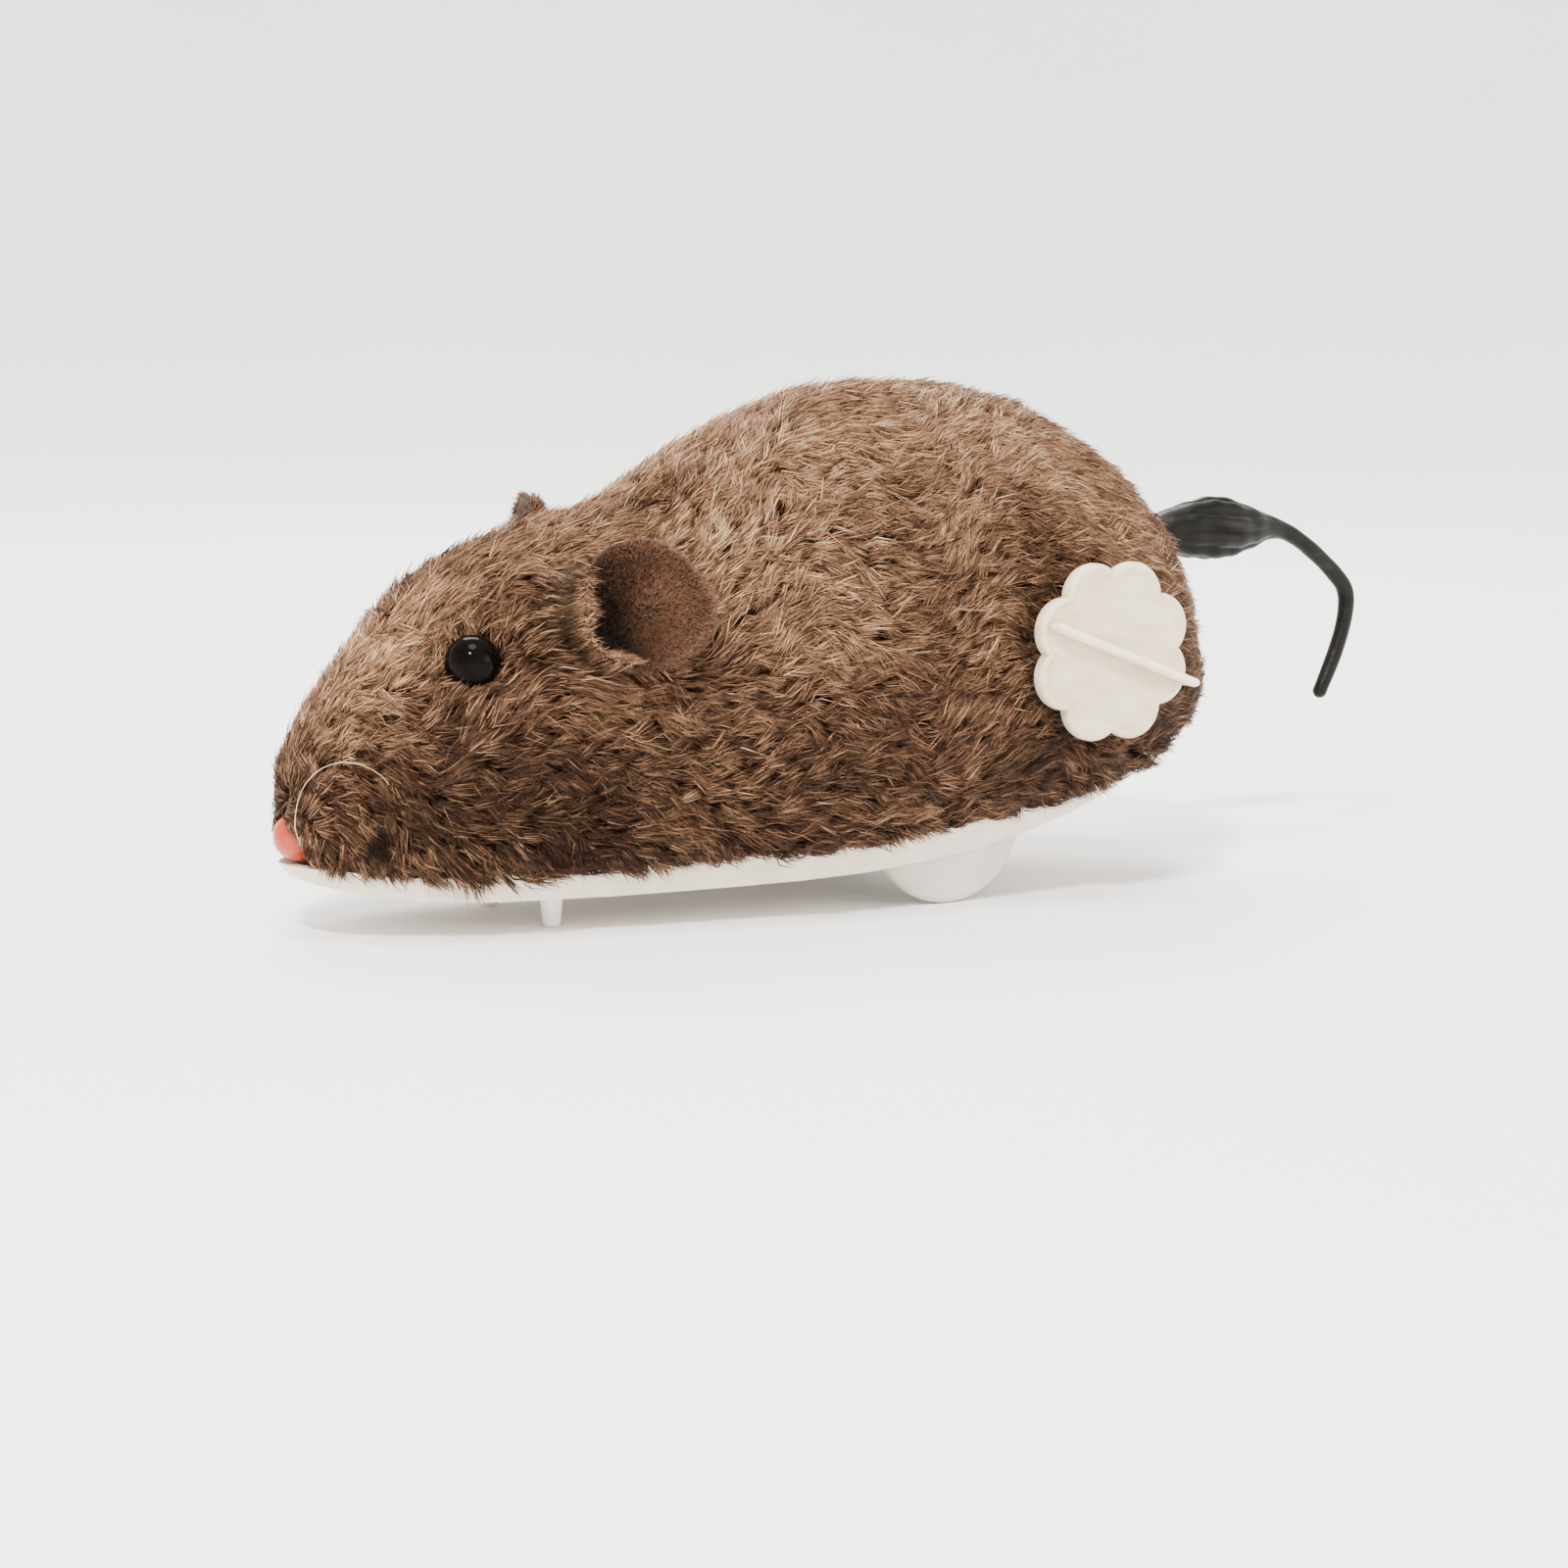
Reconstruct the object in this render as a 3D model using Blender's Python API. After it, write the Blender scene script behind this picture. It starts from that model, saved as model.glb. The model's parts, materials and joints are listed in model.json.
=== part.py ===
"""Clockwork plush mouse: a fur-covered body on a white plastic tray, driven by a spring motor.

The nose points to -X, the tail to +X, and the left flank, which carries the winding knob, to -Y.
Sizes are in millimetres and become metres where a mesh is made. The mirror plane of the body is
y = 0 while the pieces are placed, and the ground is z = 0. At the end the parent empty moves
everything so that the origin is the bottom centre of the whole toy.
"""

import math

import bmesh
import bpy
import numpy as np
from mathutils import Vector

MM = 0.001
GAP = 0.3
SHARP_ANGLE = math.radians(40)

# Body. Each station is x, half width, height above the axis line, depth below it, and the axis
# line's height. The widths, heights and depths are those before the round ends are taken off.
BODY_CENTRE_X = 2.0
BODY_HALF_LENGTH = 58.0
BODY_STATIONS = (
    (-56.0, 22.5, 24.0, 20.0, 14.5),
    (-49.0, 22.8, 27.0, 16.0, 15.4),
    (-39.0, 22.0, 30.0, 13.8, 17.0),
    (-27.0, 21.6, 27.6, 13.4, 19.2),
    (-17.0, 22.4, 26.2, 13.7, 20.8),
    (-8.0, 23.8, 29.2, 14.2, 22.0),
    (6.0, 25.8, 33.2, 14.9, 23.6),
    (22.0, 28.2, 36.0, 14.9, 24.7),
    (38.0, 32.2, 38.0, 14.4, 25.0),
    (50.0, 34.8, 38.5, 12.8, 25.0),
    (60.0, 36.0, 37.0, 11.5, 25.0),
)
HEM_TURN = math.radians(124)
BACK_THICKNESS = 4.4
HEM_THICKNESS = 1.5
HEM_EASE = math.radians(40)
SHELL_GAP = 0.4
SHELL_WALL = 1.0
BODY_STEPS = 24
SECTION_STEPS = 20
HEM_END = 0.12
HEM_END_HALF_WIDTH = 0.6
SKIN_ARBOR_OPENING = 3.4
SKIN_TAIL_OPENING = 3.2
SHELL_ARBOR_OPENING = 1.8
SHELL_TAIL_OPENING = 2.7

# Tray. Each station is x, the underside's height, and the most that the side wall rises above it.
TRAY_INSET = 1.0
TRAY_WALL = 1.6
TRAY_FLOOR = 1.4
TRAY_DRAFT = 1.2
TRAY_FLOOR_INSET = 0.8
SLOT_PLAY = 0.7
MOTOR_WINDOW = ((12.4, -11.7, -2), (24.2, 11.7, 14))
GLIDE_HOLE = 1.2
SCREW_HOLE = 1.4
TRAY_STATIONS = (
    (-55.0, 6.9, 1.1),
    (-50.0, 5.4, 2.5),
    (-42.0, 4.3, 3.2),
    (-28.0, 3.9, 3.4),
    (-10.0, 4.2, 3.4),
    (8.0, 5.0, 3.4),
    (24.0, 7.2, 3.4),
    (38.0, 11.2, 3.4),
    (50.0, 15.6, 3.4),
    (59.0, 20.0, 3.4),
)

# Clockwork: x and z of each arbor, then its gears.
WINDING_ARBOR = (31.5, 28.9)
GREAT_TEETH = 40
WHEEL_TEETH = 32
PINION_TEETH = 10
CROWN_TEETH = 24
MODULE = 0.6
GREAT_RADIUS = MODULE * GREAT_TEETH / 2
WHEEL_RADIUS = MODULE * WHEEL_TEETH / 2
PINION_RADIUS = MODULE * PINION_TEETH / 2
CROWN_RADIUS = MODULE * CROWN_TEETH / 2
DRIVE_RADIUS = 9.5
DRIVE_AXLE = (18.3, DRIVE_RADIUS)
TAIL_HEIGHT = 39.5
ARBOR_RADIUS = 1.0
WINDING_RADIUS = 1.2
PLATE_INNER = 10.0
PLATE_THICKNESS = 1.0
GREAT_PLANE = (-5.2, -4.2)
PINION_PLANE = (-5.6, -3.8)
WHEEL_PLANE = (6.0, 7.0)
AXLE_PINION_PLANE = (5.6, 7.4)
CROWN_DISC_PLANE = (4.0, 5.0)
RATCHET_PLANE = (-3.8, -2.8)
SPRING_PLANE = (-9.5, -5.7)

KNOB_RADIUS = 10.3
KNOB_FACE_Y = -29.6
KNOB_DISC = 1.6
KNOB_LOBES = 8
KNOB_SIDES = 64
KNOB_HUB_RADIUS = 2.6
KNOB_HUB_END = -24.6
FIN_HEIGHT = 2.2
FIN_THICKNESS = 1.0
FIN_TURN = math.radians(21)
FIN_ENDS = (-9.3, 11.2)

WHEEL_WIDTH = 2.6
WHEEL_OUTER_Y = 17.8
EYE_RADIUS = 3.0
EYE_SPOT = (math.radians(46), math.radians(52.5))
EYE_SINK = 0.8
EYE_STEM_RADIUS = 0.8
NOSE_RADIUS = 2.7
NOSE_PLACE = (-53.0, 0.0, 10.9)
GLIDE_PLACE = (-27.0, 7.8)


def smooth(x, stations, column):
    """A cubic Hermite curve through one column of the stations, with mean slopes at each one."""
    table = np.array(stations, float)
    places = table[:, 0]
    values = table[:, column]
    slopes = np.gradient(values, places)
    x = np.clip(np.asarray(x, float), places[0], places[-1])
    part = np.clip(np.searchsorted(places, x, side="right") - 1, 0, len(places) - 2)
    span = places[part + 1] - places[part]
    t = (x - places[part]) / span
    before = (2 * t**3 - 3 * t**2 + 1) * values[part] + (t**3 - 2 * t**2 + t) * span * slopes[part]
    after = (3 * t**2 - 2 * t**3) * values[part + 1] + (t**3 - t**2) * span * slopes[part + 1]
    return before + after


def body_point(along, turn):
    """Outer surface of the pile: along runs 0 to pi from nose to rump, turn is 0 at the back's
    middle line and reaches HEM_TURN at the hem. Half width and height shrink with sin(along)."""
    along = np.asarray(along, float)
    turn = np.asarray(turn, float)
    x = BODY_CENTRE_X - BODY_HALF_LENGTH * np.cos(along)
    round_end = np.sin(along)
    width = smooth(x, BODY_STATIONS, 1) * round_end
    height = smooth(x, BODY_STATIONS, 2) * round_end
    depth = smooth(x, BODY_STATIONS, 3) * round_end / -math.cos(HEM_TURN)
    axis = smooth(x, BODY_STATIONS, 4)
    z = axis + np.where(np.cos(turn) > 0, height, depth) * np.cos(turn)
    return np.stack(np.broadcast_arrays(x, width * np.sin(turn), z), axis=-1)


def body_normal(along, turn):
    """Outward normal of the pile's surface, from small steps in both parameters."""
    step = 1e-4
    along = np.clip(along, 0.02, math.pi - 0.02)
    down = body_point(along + step, turn) - body_point(along - step, turn)
    across = body_point(along, turn + step) - body_point(along, turn - step)
    normal = np.cross(across, down)
    normal /= np.linalg.norm(normal, axis=-1, keepdims=True)
    outward = body_point(along, turn) - np.stack(
        np.broadcast_arrays(body_point(along, turn)[..., 0] * 0.9, 0 * turn, 20 + 0 * turn), axis=-1
    )
    return normal * np.sign((normal * outward).sum(axis=-1, keepdims=True))


def body_grid(depth_back, depth_hem):
    """Grid of points at a depth below the pile's surface, deeper at the back than at the hem."""
    along = np.linspace(0, math.pi, BODY_STEPS + 1)[1:-1, None]
    turn = np.linspace(-HEM_TURN, HEM_TURN, SECTION_STEPS + 1)[None, :]
    ease = np.clip((HEM_TURN - np.abs(turn)) / HEM_EASE, 0, 1)
    ease = ease * ease * (3 - 2 * ease)
    depth = depth_hem + (depth_back - depth_hem) * ease
    points = body_point(along, turn) - body_normal(along, turn) * depth[..., None]
    nose = body_point(0.0, 0.0) + np.array([depth_back, 0, 0])
    rump = body_point(math.pi, 0.0) - np.array([depth_back, 0, 0])
    return points, nose, rump


def hem_line(depth):
    """The hem's two sides as one loop seen from above, at a depth inside the pile's surface."""
    along = np.linspace(HEM_END, math.pi - HEM_END, BODY_STEPS)
    left = body_point(along, np.full_like(along, -HEM_TURN))
    flat = body_normal(along, np.full_like(along, -HEM_TURN)) * np.array([1, 1, 0])
    flat /= np.linalg.norm(flat, axis=1, keepdims=True)
    left = left - flat * depth
    left[:, 1] = np.minimum(left[:, 1], -HEM_END_HALF_WIDTH)
    right = left[::-1] * np.array([1, -1, 1])
    return np.vstack([left, right])


# Red, green, blue (linear), roughness and metallic share of each finish.
FINISHES = {
    "brown_plush": (0.25, 0.15, 0.09, 0.9, 0.0),
    "ear_felt": (0.12, 0.07, 0.045, 0.95, 0.0),
    "white_plastic": (0.86, 0.85, 0.82, 0.4, 0.0),
    "shell_plastic": (0.75, 0.73, 0.68, 0.5, 0.0),
    "nylon": (0.88, 0.87, 0.84, 0.35, 0.0),
    "black_bead": (0.01, 0.01, 0.01, 0.08, 0.0),
    "red_bead": (0.55, 0.13, 0.09, 0.15, 0.0),
    "whisker_nylon": (0.75, 0.68, 0.58, 0.3, 0.0),
    "tail_rubber": (0.035, 0.04, 0.035, 0.55, 0.0),
    "steel": (0.6, 0.6, 0.6, 0.3, 1.0),
    "spring_steel": (0.35, 0.37, 0.42, 0.25, 1.0),
    "brass": (0.75, 0.55, 0.25, 0.3, 1.0),
    "gear_plastic": (0.8, 0.78, 0.7, 0.4, 0.0),
}
ROOT = None


def clear_scene():
    for found in list(bpy.data.objects):
        bpy.data.objects.remove(found, do_unlink=True)


def finish(name):
    """A Principled material with the named finish."""
    red, green, blue, roughness, metallic = FINISHES[name]
    material = bpy.data.materials.get(name)
    if material is None:
        material = bpy.data.materials.new(name)
        material.use_nodes = True
        shader = material.node_tree.nodes["Principled BSDF"]
        shader.inputs["Base Color"].default_value = (red, green, blue, 1)
        shader.inputs["Roughness"].default_value = roughness
        shader.inputs["Metallic"].default_value = metallic
        material.diffuse_color = (red, green, blue, 1)
    return material


def add(name, points, faces, look, place=(0, 0, 0), hidden=False):
    """One object from points in millimetres about its place, which is its own origin."""
    mesh = bpy.data.meshes.new(name)
    mesh.from_pydata((np.asarray(points, float) * MM).tolist(), [], [list(f) for f in faces])
    work = bmesh.new()
    work.from_mesh(mesh)
    bmesh.ops.recalc_face_normals(work, faces=work.faces)
    work.to_mesh(mesh)
    work.free()
    mesh.shade_smooth()
    mesh.set_sharp_from_angle(angle=SHARP_ANGLE)
    made = bpy.data.objects.new(name, mesh)
    bpy.context.scene.collection.objects.link(made)
    made.location = Vector(place) * MM
    made.parent = ROOT
    if hidden:
        made.hide_render = True
        made.display_type = "WIRE"
    else:
        mesh.materials.append(finish(look))
    return made


def boolean(target, other, operation):
    """Cuts or joins with another mesh, which is then only a hidden helper."""
    other.hide_render = True
    other.display_type = "WIRE"
    step = target.modifiers.new(operation.lower() + "_" + other.name, "BOOLEAN")
    step.operation = operation
    step.solver = "EXACT"
    step.object = other


def loft(rings, ring_closed=False):
    """Faces between rings of equal length; open ends get a flat cap each."""
    rings = np.asarray(rings, float)
    count, size = rings.shape[:2]
    points = rings.reshape(-1, 3)
    faces = []
    last = count if ring_closed else count - 1
    for ring in range(last):
        here = ring * size
        there = ((ring + 1) % count) * size
        for side in range(size):
            turn = (side + 1) % size
            faces.append((here + side, here + turn, there + turn, there + side))
    if not ring_closed:
        faces.append(tuple(range(size)))
        faces.append(tuple(range((count - 1) * size, count * size))[::-1])
    return points, faces


def turned(profile, axis="Y", sides=16):
    """A solid of revolution about a line through the origin. The profile lists distance along the
    axis and radius, from one end to the other; a radius of 0 at an end closes it in a point."""
    angles = np.arange(sides) * 2 * math.pi / sides
    points = []
    rings = []
    for reach, radius in profile:
        if radius == 0:
            rings.append([len(points)])
            points.append((reach, 0.0, 0.0))
            continue
        rings.append(list(range(len(points), len(points) + sides)))
        for angle in angles:
            points.append((reach, radius * math.cos(angle), radius * math.sin(angle)))
    faces = []
    for first, second in zip(rings, rings[1:]):
        for side in range(sides):
            turn = (side + 1) % sides
            corners = [first[side % len(first)], first[turn % len(first)]]
            corners += [second[turn % len(second)], second[side % len(second)]]
            faces.append(tuple(dict.fromkeys(corners)))
    for ring in (rings[0], rings[-1]):
        if len(ring) > 1:
            faces.append(tuple(ring))
    points = np.array(points)
    if axis == "Y":
        points = points[:, [1, 0, 2]]
    if axis == "Z":
        points = points[:, [1, 2, 0]]
    return points, faces


def rod(name, look, place, ends, radius, axis="Y", sides=12):
    points, faces = turned([(ends[0], radius), (ends[1], radius)], axis, sides)
    return add(name, points, faces, look, place)


def box(name, low, high, look, hidden=False):
    corners = [
        (x, y, z) for x in (low[0], high[0]) for y in (low[1], high[1]) for z in (low[2], high[2])
    ]
    faces = [(0, 1, 3, 2), (4, 6, 7, 5), (0, 4, 5, 1), (2, 3, 7, 6), (0, 2, 6, 4), (1, 5, 7, 3)]
    return add(name, corners, faces, look, hidden=hidden)


def upright(outline, plane, bore=0.0):
    """An outline in x and z carried from one y to another, with a round bore if one is given."""
    outline = np.asarray(outline, float)
    low, high = plane

    def ring(shape, y):
        return np.column_stack([shape[:, 0], np.full(len(shape), y), shape[:, 1]])

    if bore == 0:
        return loft([ring(outline, low), ring(outline, high)])
    angles = np.arctan2(outline[:, 1], outline[:, 0])
    inner = bore * np.column_stack([np.cos(angles), np.sin(angles)])
    rings = [ring(outline, low), ring(outline, high), ring(inner, high), ring(inner, low)]
    return loft(rings, ring_closed=True)


def gear_outline(teeth, root_share, tip_share, phase=0.0):
    """Straight-sided teeth. The shares are tooth thickness over circular pitch at root and tip."""
    pitch = MODULE * teeth / 2
    outline = []
    for tooth in range(teeth):
        middle = phase + tooth * 2 * math.pi / teeth
        for radius, share in (
            (pitch - 1.25 * MODULE, -root_share),
            (pitch + 0.8 * MODULE, -tip_share),
            (pitch + 0.8 * MODULE, tip_share),
            (pitch - 1.25 * MODULE, root_share),
        ):
            angle = middle + share * math.pi / teeth
            outline.append((radius * math.cos(angle), radius * math.sin(angle)))
    return outline


def mesh_angle(first, second):
    """Angle of the line from one arbor to the next."""
    return math.atan2(second[1] - first[1], second[0] - first[0])


def arbor_places():
    """The intermediate arbor lies where its two meshes meet, the crown arbor above the great
    wheel at the tail shaft's height."""
    near = GREAT_RADIUS + PINION_RADIUS
    far = WHEEL_RADIUS + PINION_RADIUS
    start = Vector(WINDING_ARBOR)
    reach = Vector(DRIVE_AXLE) - start
    along = (near**2 - far**2 + reach.length**2) / (2 * reach.length)
    side = math.sqrt(near**2 - along**2)
    line = reach.normalized()
    intermediate = start + line * along + Vector((line.y, -line.x)) * side
    rise = TAIL_HEIGHT - WINDING_ARBOR[1]
    crown = (WINDING_ARBOR[0] - math.sqrt(near**2 - rise**2), TAIL_HEIGHT)
    return tuple(intermediate), crown


INTERMEDIATE_ARBOR, CROWN_ARBOR = arbor_places()
TAIL_PINION_X = CROWN_ARBOR[0] + CROWN_RADIUS


def at(arbor):
    return (arbor[0], 0, arbor[1])


# Body shell, plush and tray


def domed_shell(name, outer, inner, look):
    """Closes an outer and an inner grid, each with a nose and a rump point, into one open dome."""
    points = []
    faces = []
    count, size = outer[0].shape[:2]
    for grid, nose, rump in (outer, inner):
        start = len(points)
        points += list(grid.reshape(-1, 3)) + [nose, rump]
        for row in range(count - 1):
            for side in range(size - 1):
                here = start + row * size + side
                faces.append((here, here + 1, here + size + 1, here + size))
        for side in range(size - 1):
            faces.append((start + count * size, start + side + 1, start + side))
            last = start + (count - 1) * size + side
            faces.append((start + count * size + 1, last, last + 1))
    shift = count * size + 2
    hem = [row * size for row in range(count)]
    hem += [count * size + 1]
    hem += [row * size + size - 1 for row in reversed(range(count))]
    hem += [count * size]
    for here, there in zip(hem, hem[1:] + hem[:1]):
        faces.append((here, there, there + shift, here + shift))
    return add(name, points, faces, look)


def plush_skin():
    outer = body_grid(0.0, 0.0)
    inner = body_grid(BACK_THICKNESS, HEM_THICKNESS)
    skin = domed_shell("plush_skin", outer, inner, "brown_plush")
    cut_openings(skin, EYE_RADIUS + GAP, SKIN_ARBOR_OPENING, SKIN_TAIL_OPENING)
    return skin


def body_shell():
    outside = (BACK_THICKNESS + SHELL_GAP, HEM_THICKNESS + SHELL_GAP)
    outer = body_grid(*outside)
    inner = body_grid(outside[0] + SHELL_WALL, outside[1] + SHELL_WALL)
    shell = domed_shell("body_shell", outer, inner, "shell_plastic")
    cut_openings(shell, EYE_STEM_RADIUS + GAP, SHELL_ARBOR_OPENING, SHELL_TAIL_OPENING)
    return shell


def cut(target, name, shape, place=(0, 0, 0)):
    """Takes a shape, given as points and faces, away from a piece."""
    points, faces = shape
    boolean(target, add(name, points, faces, "", place, hidden=True), "DIFFERENCE")


def cylinder(ends, radius, axis, sides=12):
    """A plain cylinder between two distances along an axis."""
    return turned([(ends[0], radius), (ends[1], radius)], axis, sides)


def cut_openings(shell, eye, arbor, tail):
    """Round openings for the eyes, the nose bead, the winding arbor and the tail shaft."""
    name = shell.name
    for side, sign in (("left", -1), ("right", 1)):
        place, direction = eye_seat(sign)
        cut(shell, f"{name}_{side}_eye_cut", aimed(cylinder((-8, 8), eye, "X", 16), direction), place)
    for what, radius, axis, ends, place in (
        ("nose", NOSE_RADIUS + GAP, "X", (-8, 7), NOSE_PLACE),
        ("arbor", arbor, "Y", (-40, -12), at(WINDING_ARBOR)),
        ("tail", tail, "X", (45, 70), (0, 0, TAIL_HEIGHT)),
    ):
        cut(shell, f"{name}_{what}_cut", cylinder(ends, radius, axis, 16), place)


def eye_seat(sign):
    """Where an eye's bead sits in the pile, and the way it looks: straight out of the surface."""
    spot = (EYE_SPOT[0], sign * EYE_SPOT[1])
    direction = body_normal(*spot)
    return tuple(body_point(*spot) - direction * EYE_SINK), Vector(direction)


def aimed(shape, direction):
    """Turns a shape made along +X so that +X points in the given direction."""
    points, faces = shape
    turn = Vector((1, 0, 0)).rotation_difference(direction).to_matrix()
    return np.asarray(points) @ np.array(turn).T, faces


def base_tray():
    """A boat-shaped tray: outer wall with draft, a rim as thick as the wall, and a flat floor."""
    outer = hem_line(TRAY_INSET)
    foot = hem_line(TRAY_INSET + TRAY_DRAFT)
    inner = hem_line(TRAY_INSET + TRAY_WALL)
    floor = hem_line(TRAY_INSET + TRAY_WALL + TRAY_FLOOR_INSET)
    points = np.vstack([lay(floor, TRAY_FLOOR), rim(inner), rim(outer), lay(foot, 0.0)])
    count = len(outer)
    faces = []
    for ring in range(3):
        for side in range(count):
            turn = (side + 1) % count
            here = ring * count
            faces.append((here + side, here + turn, here + count + turn, here + count + side))
    for ring in (0, 3):
        start = ring * count
        for side in range(count // 2 - 1):
            far = count - 1 - side
            faces.append((start + side, start + side + 1, start + far - 1, start + far))
    tray = add("base_tray", points, faces, "white_plastic")
    for side, sign in (("left", -1), ("right", 1)):
        middle = sign * (WHEEL_OUTER_Y - WHEEL_WIDTH / 2)
        slot = WHEEL_WIDTH / 2 + SLOT_PLAY
        reach = DRIVE_RADIUS + SLOT_PLAY
        low = (DRIVE_AXLE[0] - reach, middle - slot, -2)
        high = (DRIVE_AXLE[0] + reach, middle + slot, 20)
        boolean(tray, box(f"wheel_slot_{side}", low, high, "", hidden=True), "DIFFERENCE")
        place = (GLIDE_PLACE[0], sign * GLIDE_PLACE[1], 0)
        cut(tray, f"glide_hole_{side}", cylinder((-3, 9), GLIDE_HOLE, "Z"), place)
    boolean(tray, box("motor_window", *MOTOR_WINDOW, "", hidden=True), "DIFFERENCE")
    for which, x, _ in FOOT_BARS:
        cut(tray, f"screw_hole_{which}", cylinder((-2, 16), SCREW_HOLE, "Z"), (x, 0, 0))
    return tray


def lay(loop, rise):
    """Puts a loop on the tray's underside, raised by a height."""
    laid = loop.copy()
    laid[:, 2] = smooth(loop[:, 0], TRAY_STATIONS, 1) + rise
    return laid


def rim(loop):
    """Ends the side wall just below the plush's hem, and lower than that under the nose."""
    ended = loop.copy()
    wall = smooth(loop[:, 0], TRAY_STATIONS, 1) + smooth(loop[:, 0], TRAY_STATIONS, 2)
    ended[:, 2] = np.minimum(loop[:, 2] - GAP, wall)
    return ended


# Face pieces


def eye(side, sign):
    """A bead on a stem that passes through the plush and the shell, held by a washer."""
    place, direction = eye_seat(sign)
    profile = [(-6.6, EYE_STEM_RADIUS), (-2.75, EYE_STEM_RADIUS), (-2.6, 1.5)]
    for step in range(3, 10):
        angle = math.pi - step * math.pi / 10
        profile.append((EYE_RADIUS * math.cos(angle), EYE_RADIUS * math.sin(angle)))
    profile.append((EYE_RADIUS, 0))
    points, faces = aimed(turned(profile, "X", 20), direction)
    add(f"{side}_eye", points, faces, "black_bead", place)
    washer = sleeve_shape(((-6.2, 2.2), (-5.8, 2.2)), EYE_STEM_RADIUS + GAP, "X", 12)
    points, faces = aimed(washer, direction)
    add(f"{side}_eye_washer", points, faces, "steel", place)


def nose_bead():
    """A bead with a flat back, glued into a notch at the front of the shell."""
    profile = [(-NOSE_RADIUS, 0)]
    for step in range(1, 6):
        angle = math.pi - step * math.pi / 10
        profile.append((NOSE_RADIUS * math.cos(angle), NOSE_RADIUS * math.sin(angle)))
    profile += [(0.9, 2.2), (1.3, 1.4)]
    points, faces = turned(profile, "X", 16)
    add("nose_bead", points, faces, "red_bead", NOSE_PLACE)


EAR_RADIUS = 6.6
EAR_THICKNESS = 1.0
EAR_CUP = 2.6
EAR_SIDES = 22
EARS = (
    ("left_ear", -1, (-20.8, -20.4, 35.4), (-0.62, -0.75, 0.22)),
    ("right_ear", 1, (-17.8, 19.6, 38.2), (-0.74, 0.62, 0.25)),
)


def ear(name, sign, centre, facing):
    """A cupped felt disc: a paraboloid bowl whose hollow faces forward and outward."""
    normal = Vector(facing).normalized()
    back = Vector((0, 0, 1)).cross(normal).normalized() * (-sign)
    up = normal.cross(back).normalized()
    if up.z < 0:
        up = -up
    angles = np.arange(EAR_SIDES) * 2 * math.pi / EAR_SIDES
    rings = []
    for radius, lift in (
        (0.3, 0), (0.6, 0), (0.85, 0), (1.0, 0), (1.0, 1), (0.85, 1), (0.6, 1), (0.3, 1),
    ):
        across = radius * EAR_RADIUS * np.cos(angles)
        rise = radius * EAR_RADIUS * np.sin(angles)
        bowl = EAR_CUP * radius**2 + EAR_THICKNESS * lift
        rings.append(
            np.outer(across, back) + np.outer(rise, up) + np.outer(np.full(EAR_SIDES, bowl), normal)
        )
    points, faces = loft(rings)
    middle = np.array(normal) * EAR_CUP * 0.5
    add(name, points - middle, faces, "ear_felt", centre)


def whisker(side, sign):
    """A stiff nylon hair that leaves the cheek, rises past the nose and curls back."""
    route = np.array([
        (-47.5, sign * 12.4, 14.5),
        (-51.5, sign * 13.0, 15.6),
        (-55.0, sign * 12.0, 18.2),
        (-55.6, sign * 11.2, 21.0),
        (-53.0, sign * 12.0, 23.0),
        (-49.0, sign * 13.6, 23.4),
    ])
    add_tube(f"{side}_whisker", route, np.full(len(route), 0.12), "whisker_nylon", 5, 3)


def rounded_path(route, steps):
    """A Catmull-Rom curve through the route's points."""
    route = np.asarray(route, float)
    ends = np.vstack([2 * route[0] - route[1], route, 2 * route[-1] - route[-2]])
    out = []
    for index in range(1, len(ends) - 2):
        a, b, c, d = ends[index - 1 : index + 3]
        for t in np.arange(steps) / steps:
            out.append(
                0.5 * (2 * b + (c - a) * t + (2 * a - 5 * b + 4 * c - d) * t**2
                       + (3 * b - a - 3 * c + d) * t**3)
            )
    out.append(route[-1])
    return np.array(out)


def tube_rings(path, radii, sides):
    """Rings square to a path that lies near one plane."""
    tangents = np.gradient(path, axis=0)
    tangents /= np.linalg.norm(tangents, axis=1, keepdims=True)
    side_way = np.array([0.0, 1.0, 0.0])
    first = side_way - tangents * (tangents @ side_way)[:, None]
    first /= np.linalg.norm(first, axis=1, keepdims=True)
    second = np.cross(tangents, first)
    angles = np.arange(sides) * 2 * math.pi / sides
    across = first[:, None] * np.cos(angles)[None, :, None]
    ring = across + second[:, None] * np.sin(angles)[None, :, None]
    return path[:, None] + ring * np.asarray(radii)[:, None, None]


def add_tube(name, route, radii, look, sides, steps, place=(0, 0, 0)):
    path = rounded_path(route, steps)
    spots = np.linspace(0, len(radii) - 1, len(path))
    points, faces = loft(tube_rings(path, np.interp(spots, np.arange(len(radii)), radii), sides))
    return add(name, points, faces, look, place)


# Tail

# Distance behind the tail's mouth, height against the shaft's axis, and radius.
TAIL_MOUTH_X = 58.7
TAIL_SHAPE = (
    (0.0, 0.0, 2.3),
    (2.5, 0.0, 2.9),
    (6.0, 0.0, 3.5),
    (9.5, 0.0, 3.6),
    (13.5, 0.0, 2.7),
    (17.0, -0.1, 1.5),
    (20.0, -0.7, 1.05),
    (23.5, -2.6, 1.0),
    (27.2, -6.4, 1.0),
    (29.2, -11.0, 1.0),
    (28.4, -16.0, 0.95),
    (25.4, -21.0, 0.9),
)


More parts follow.
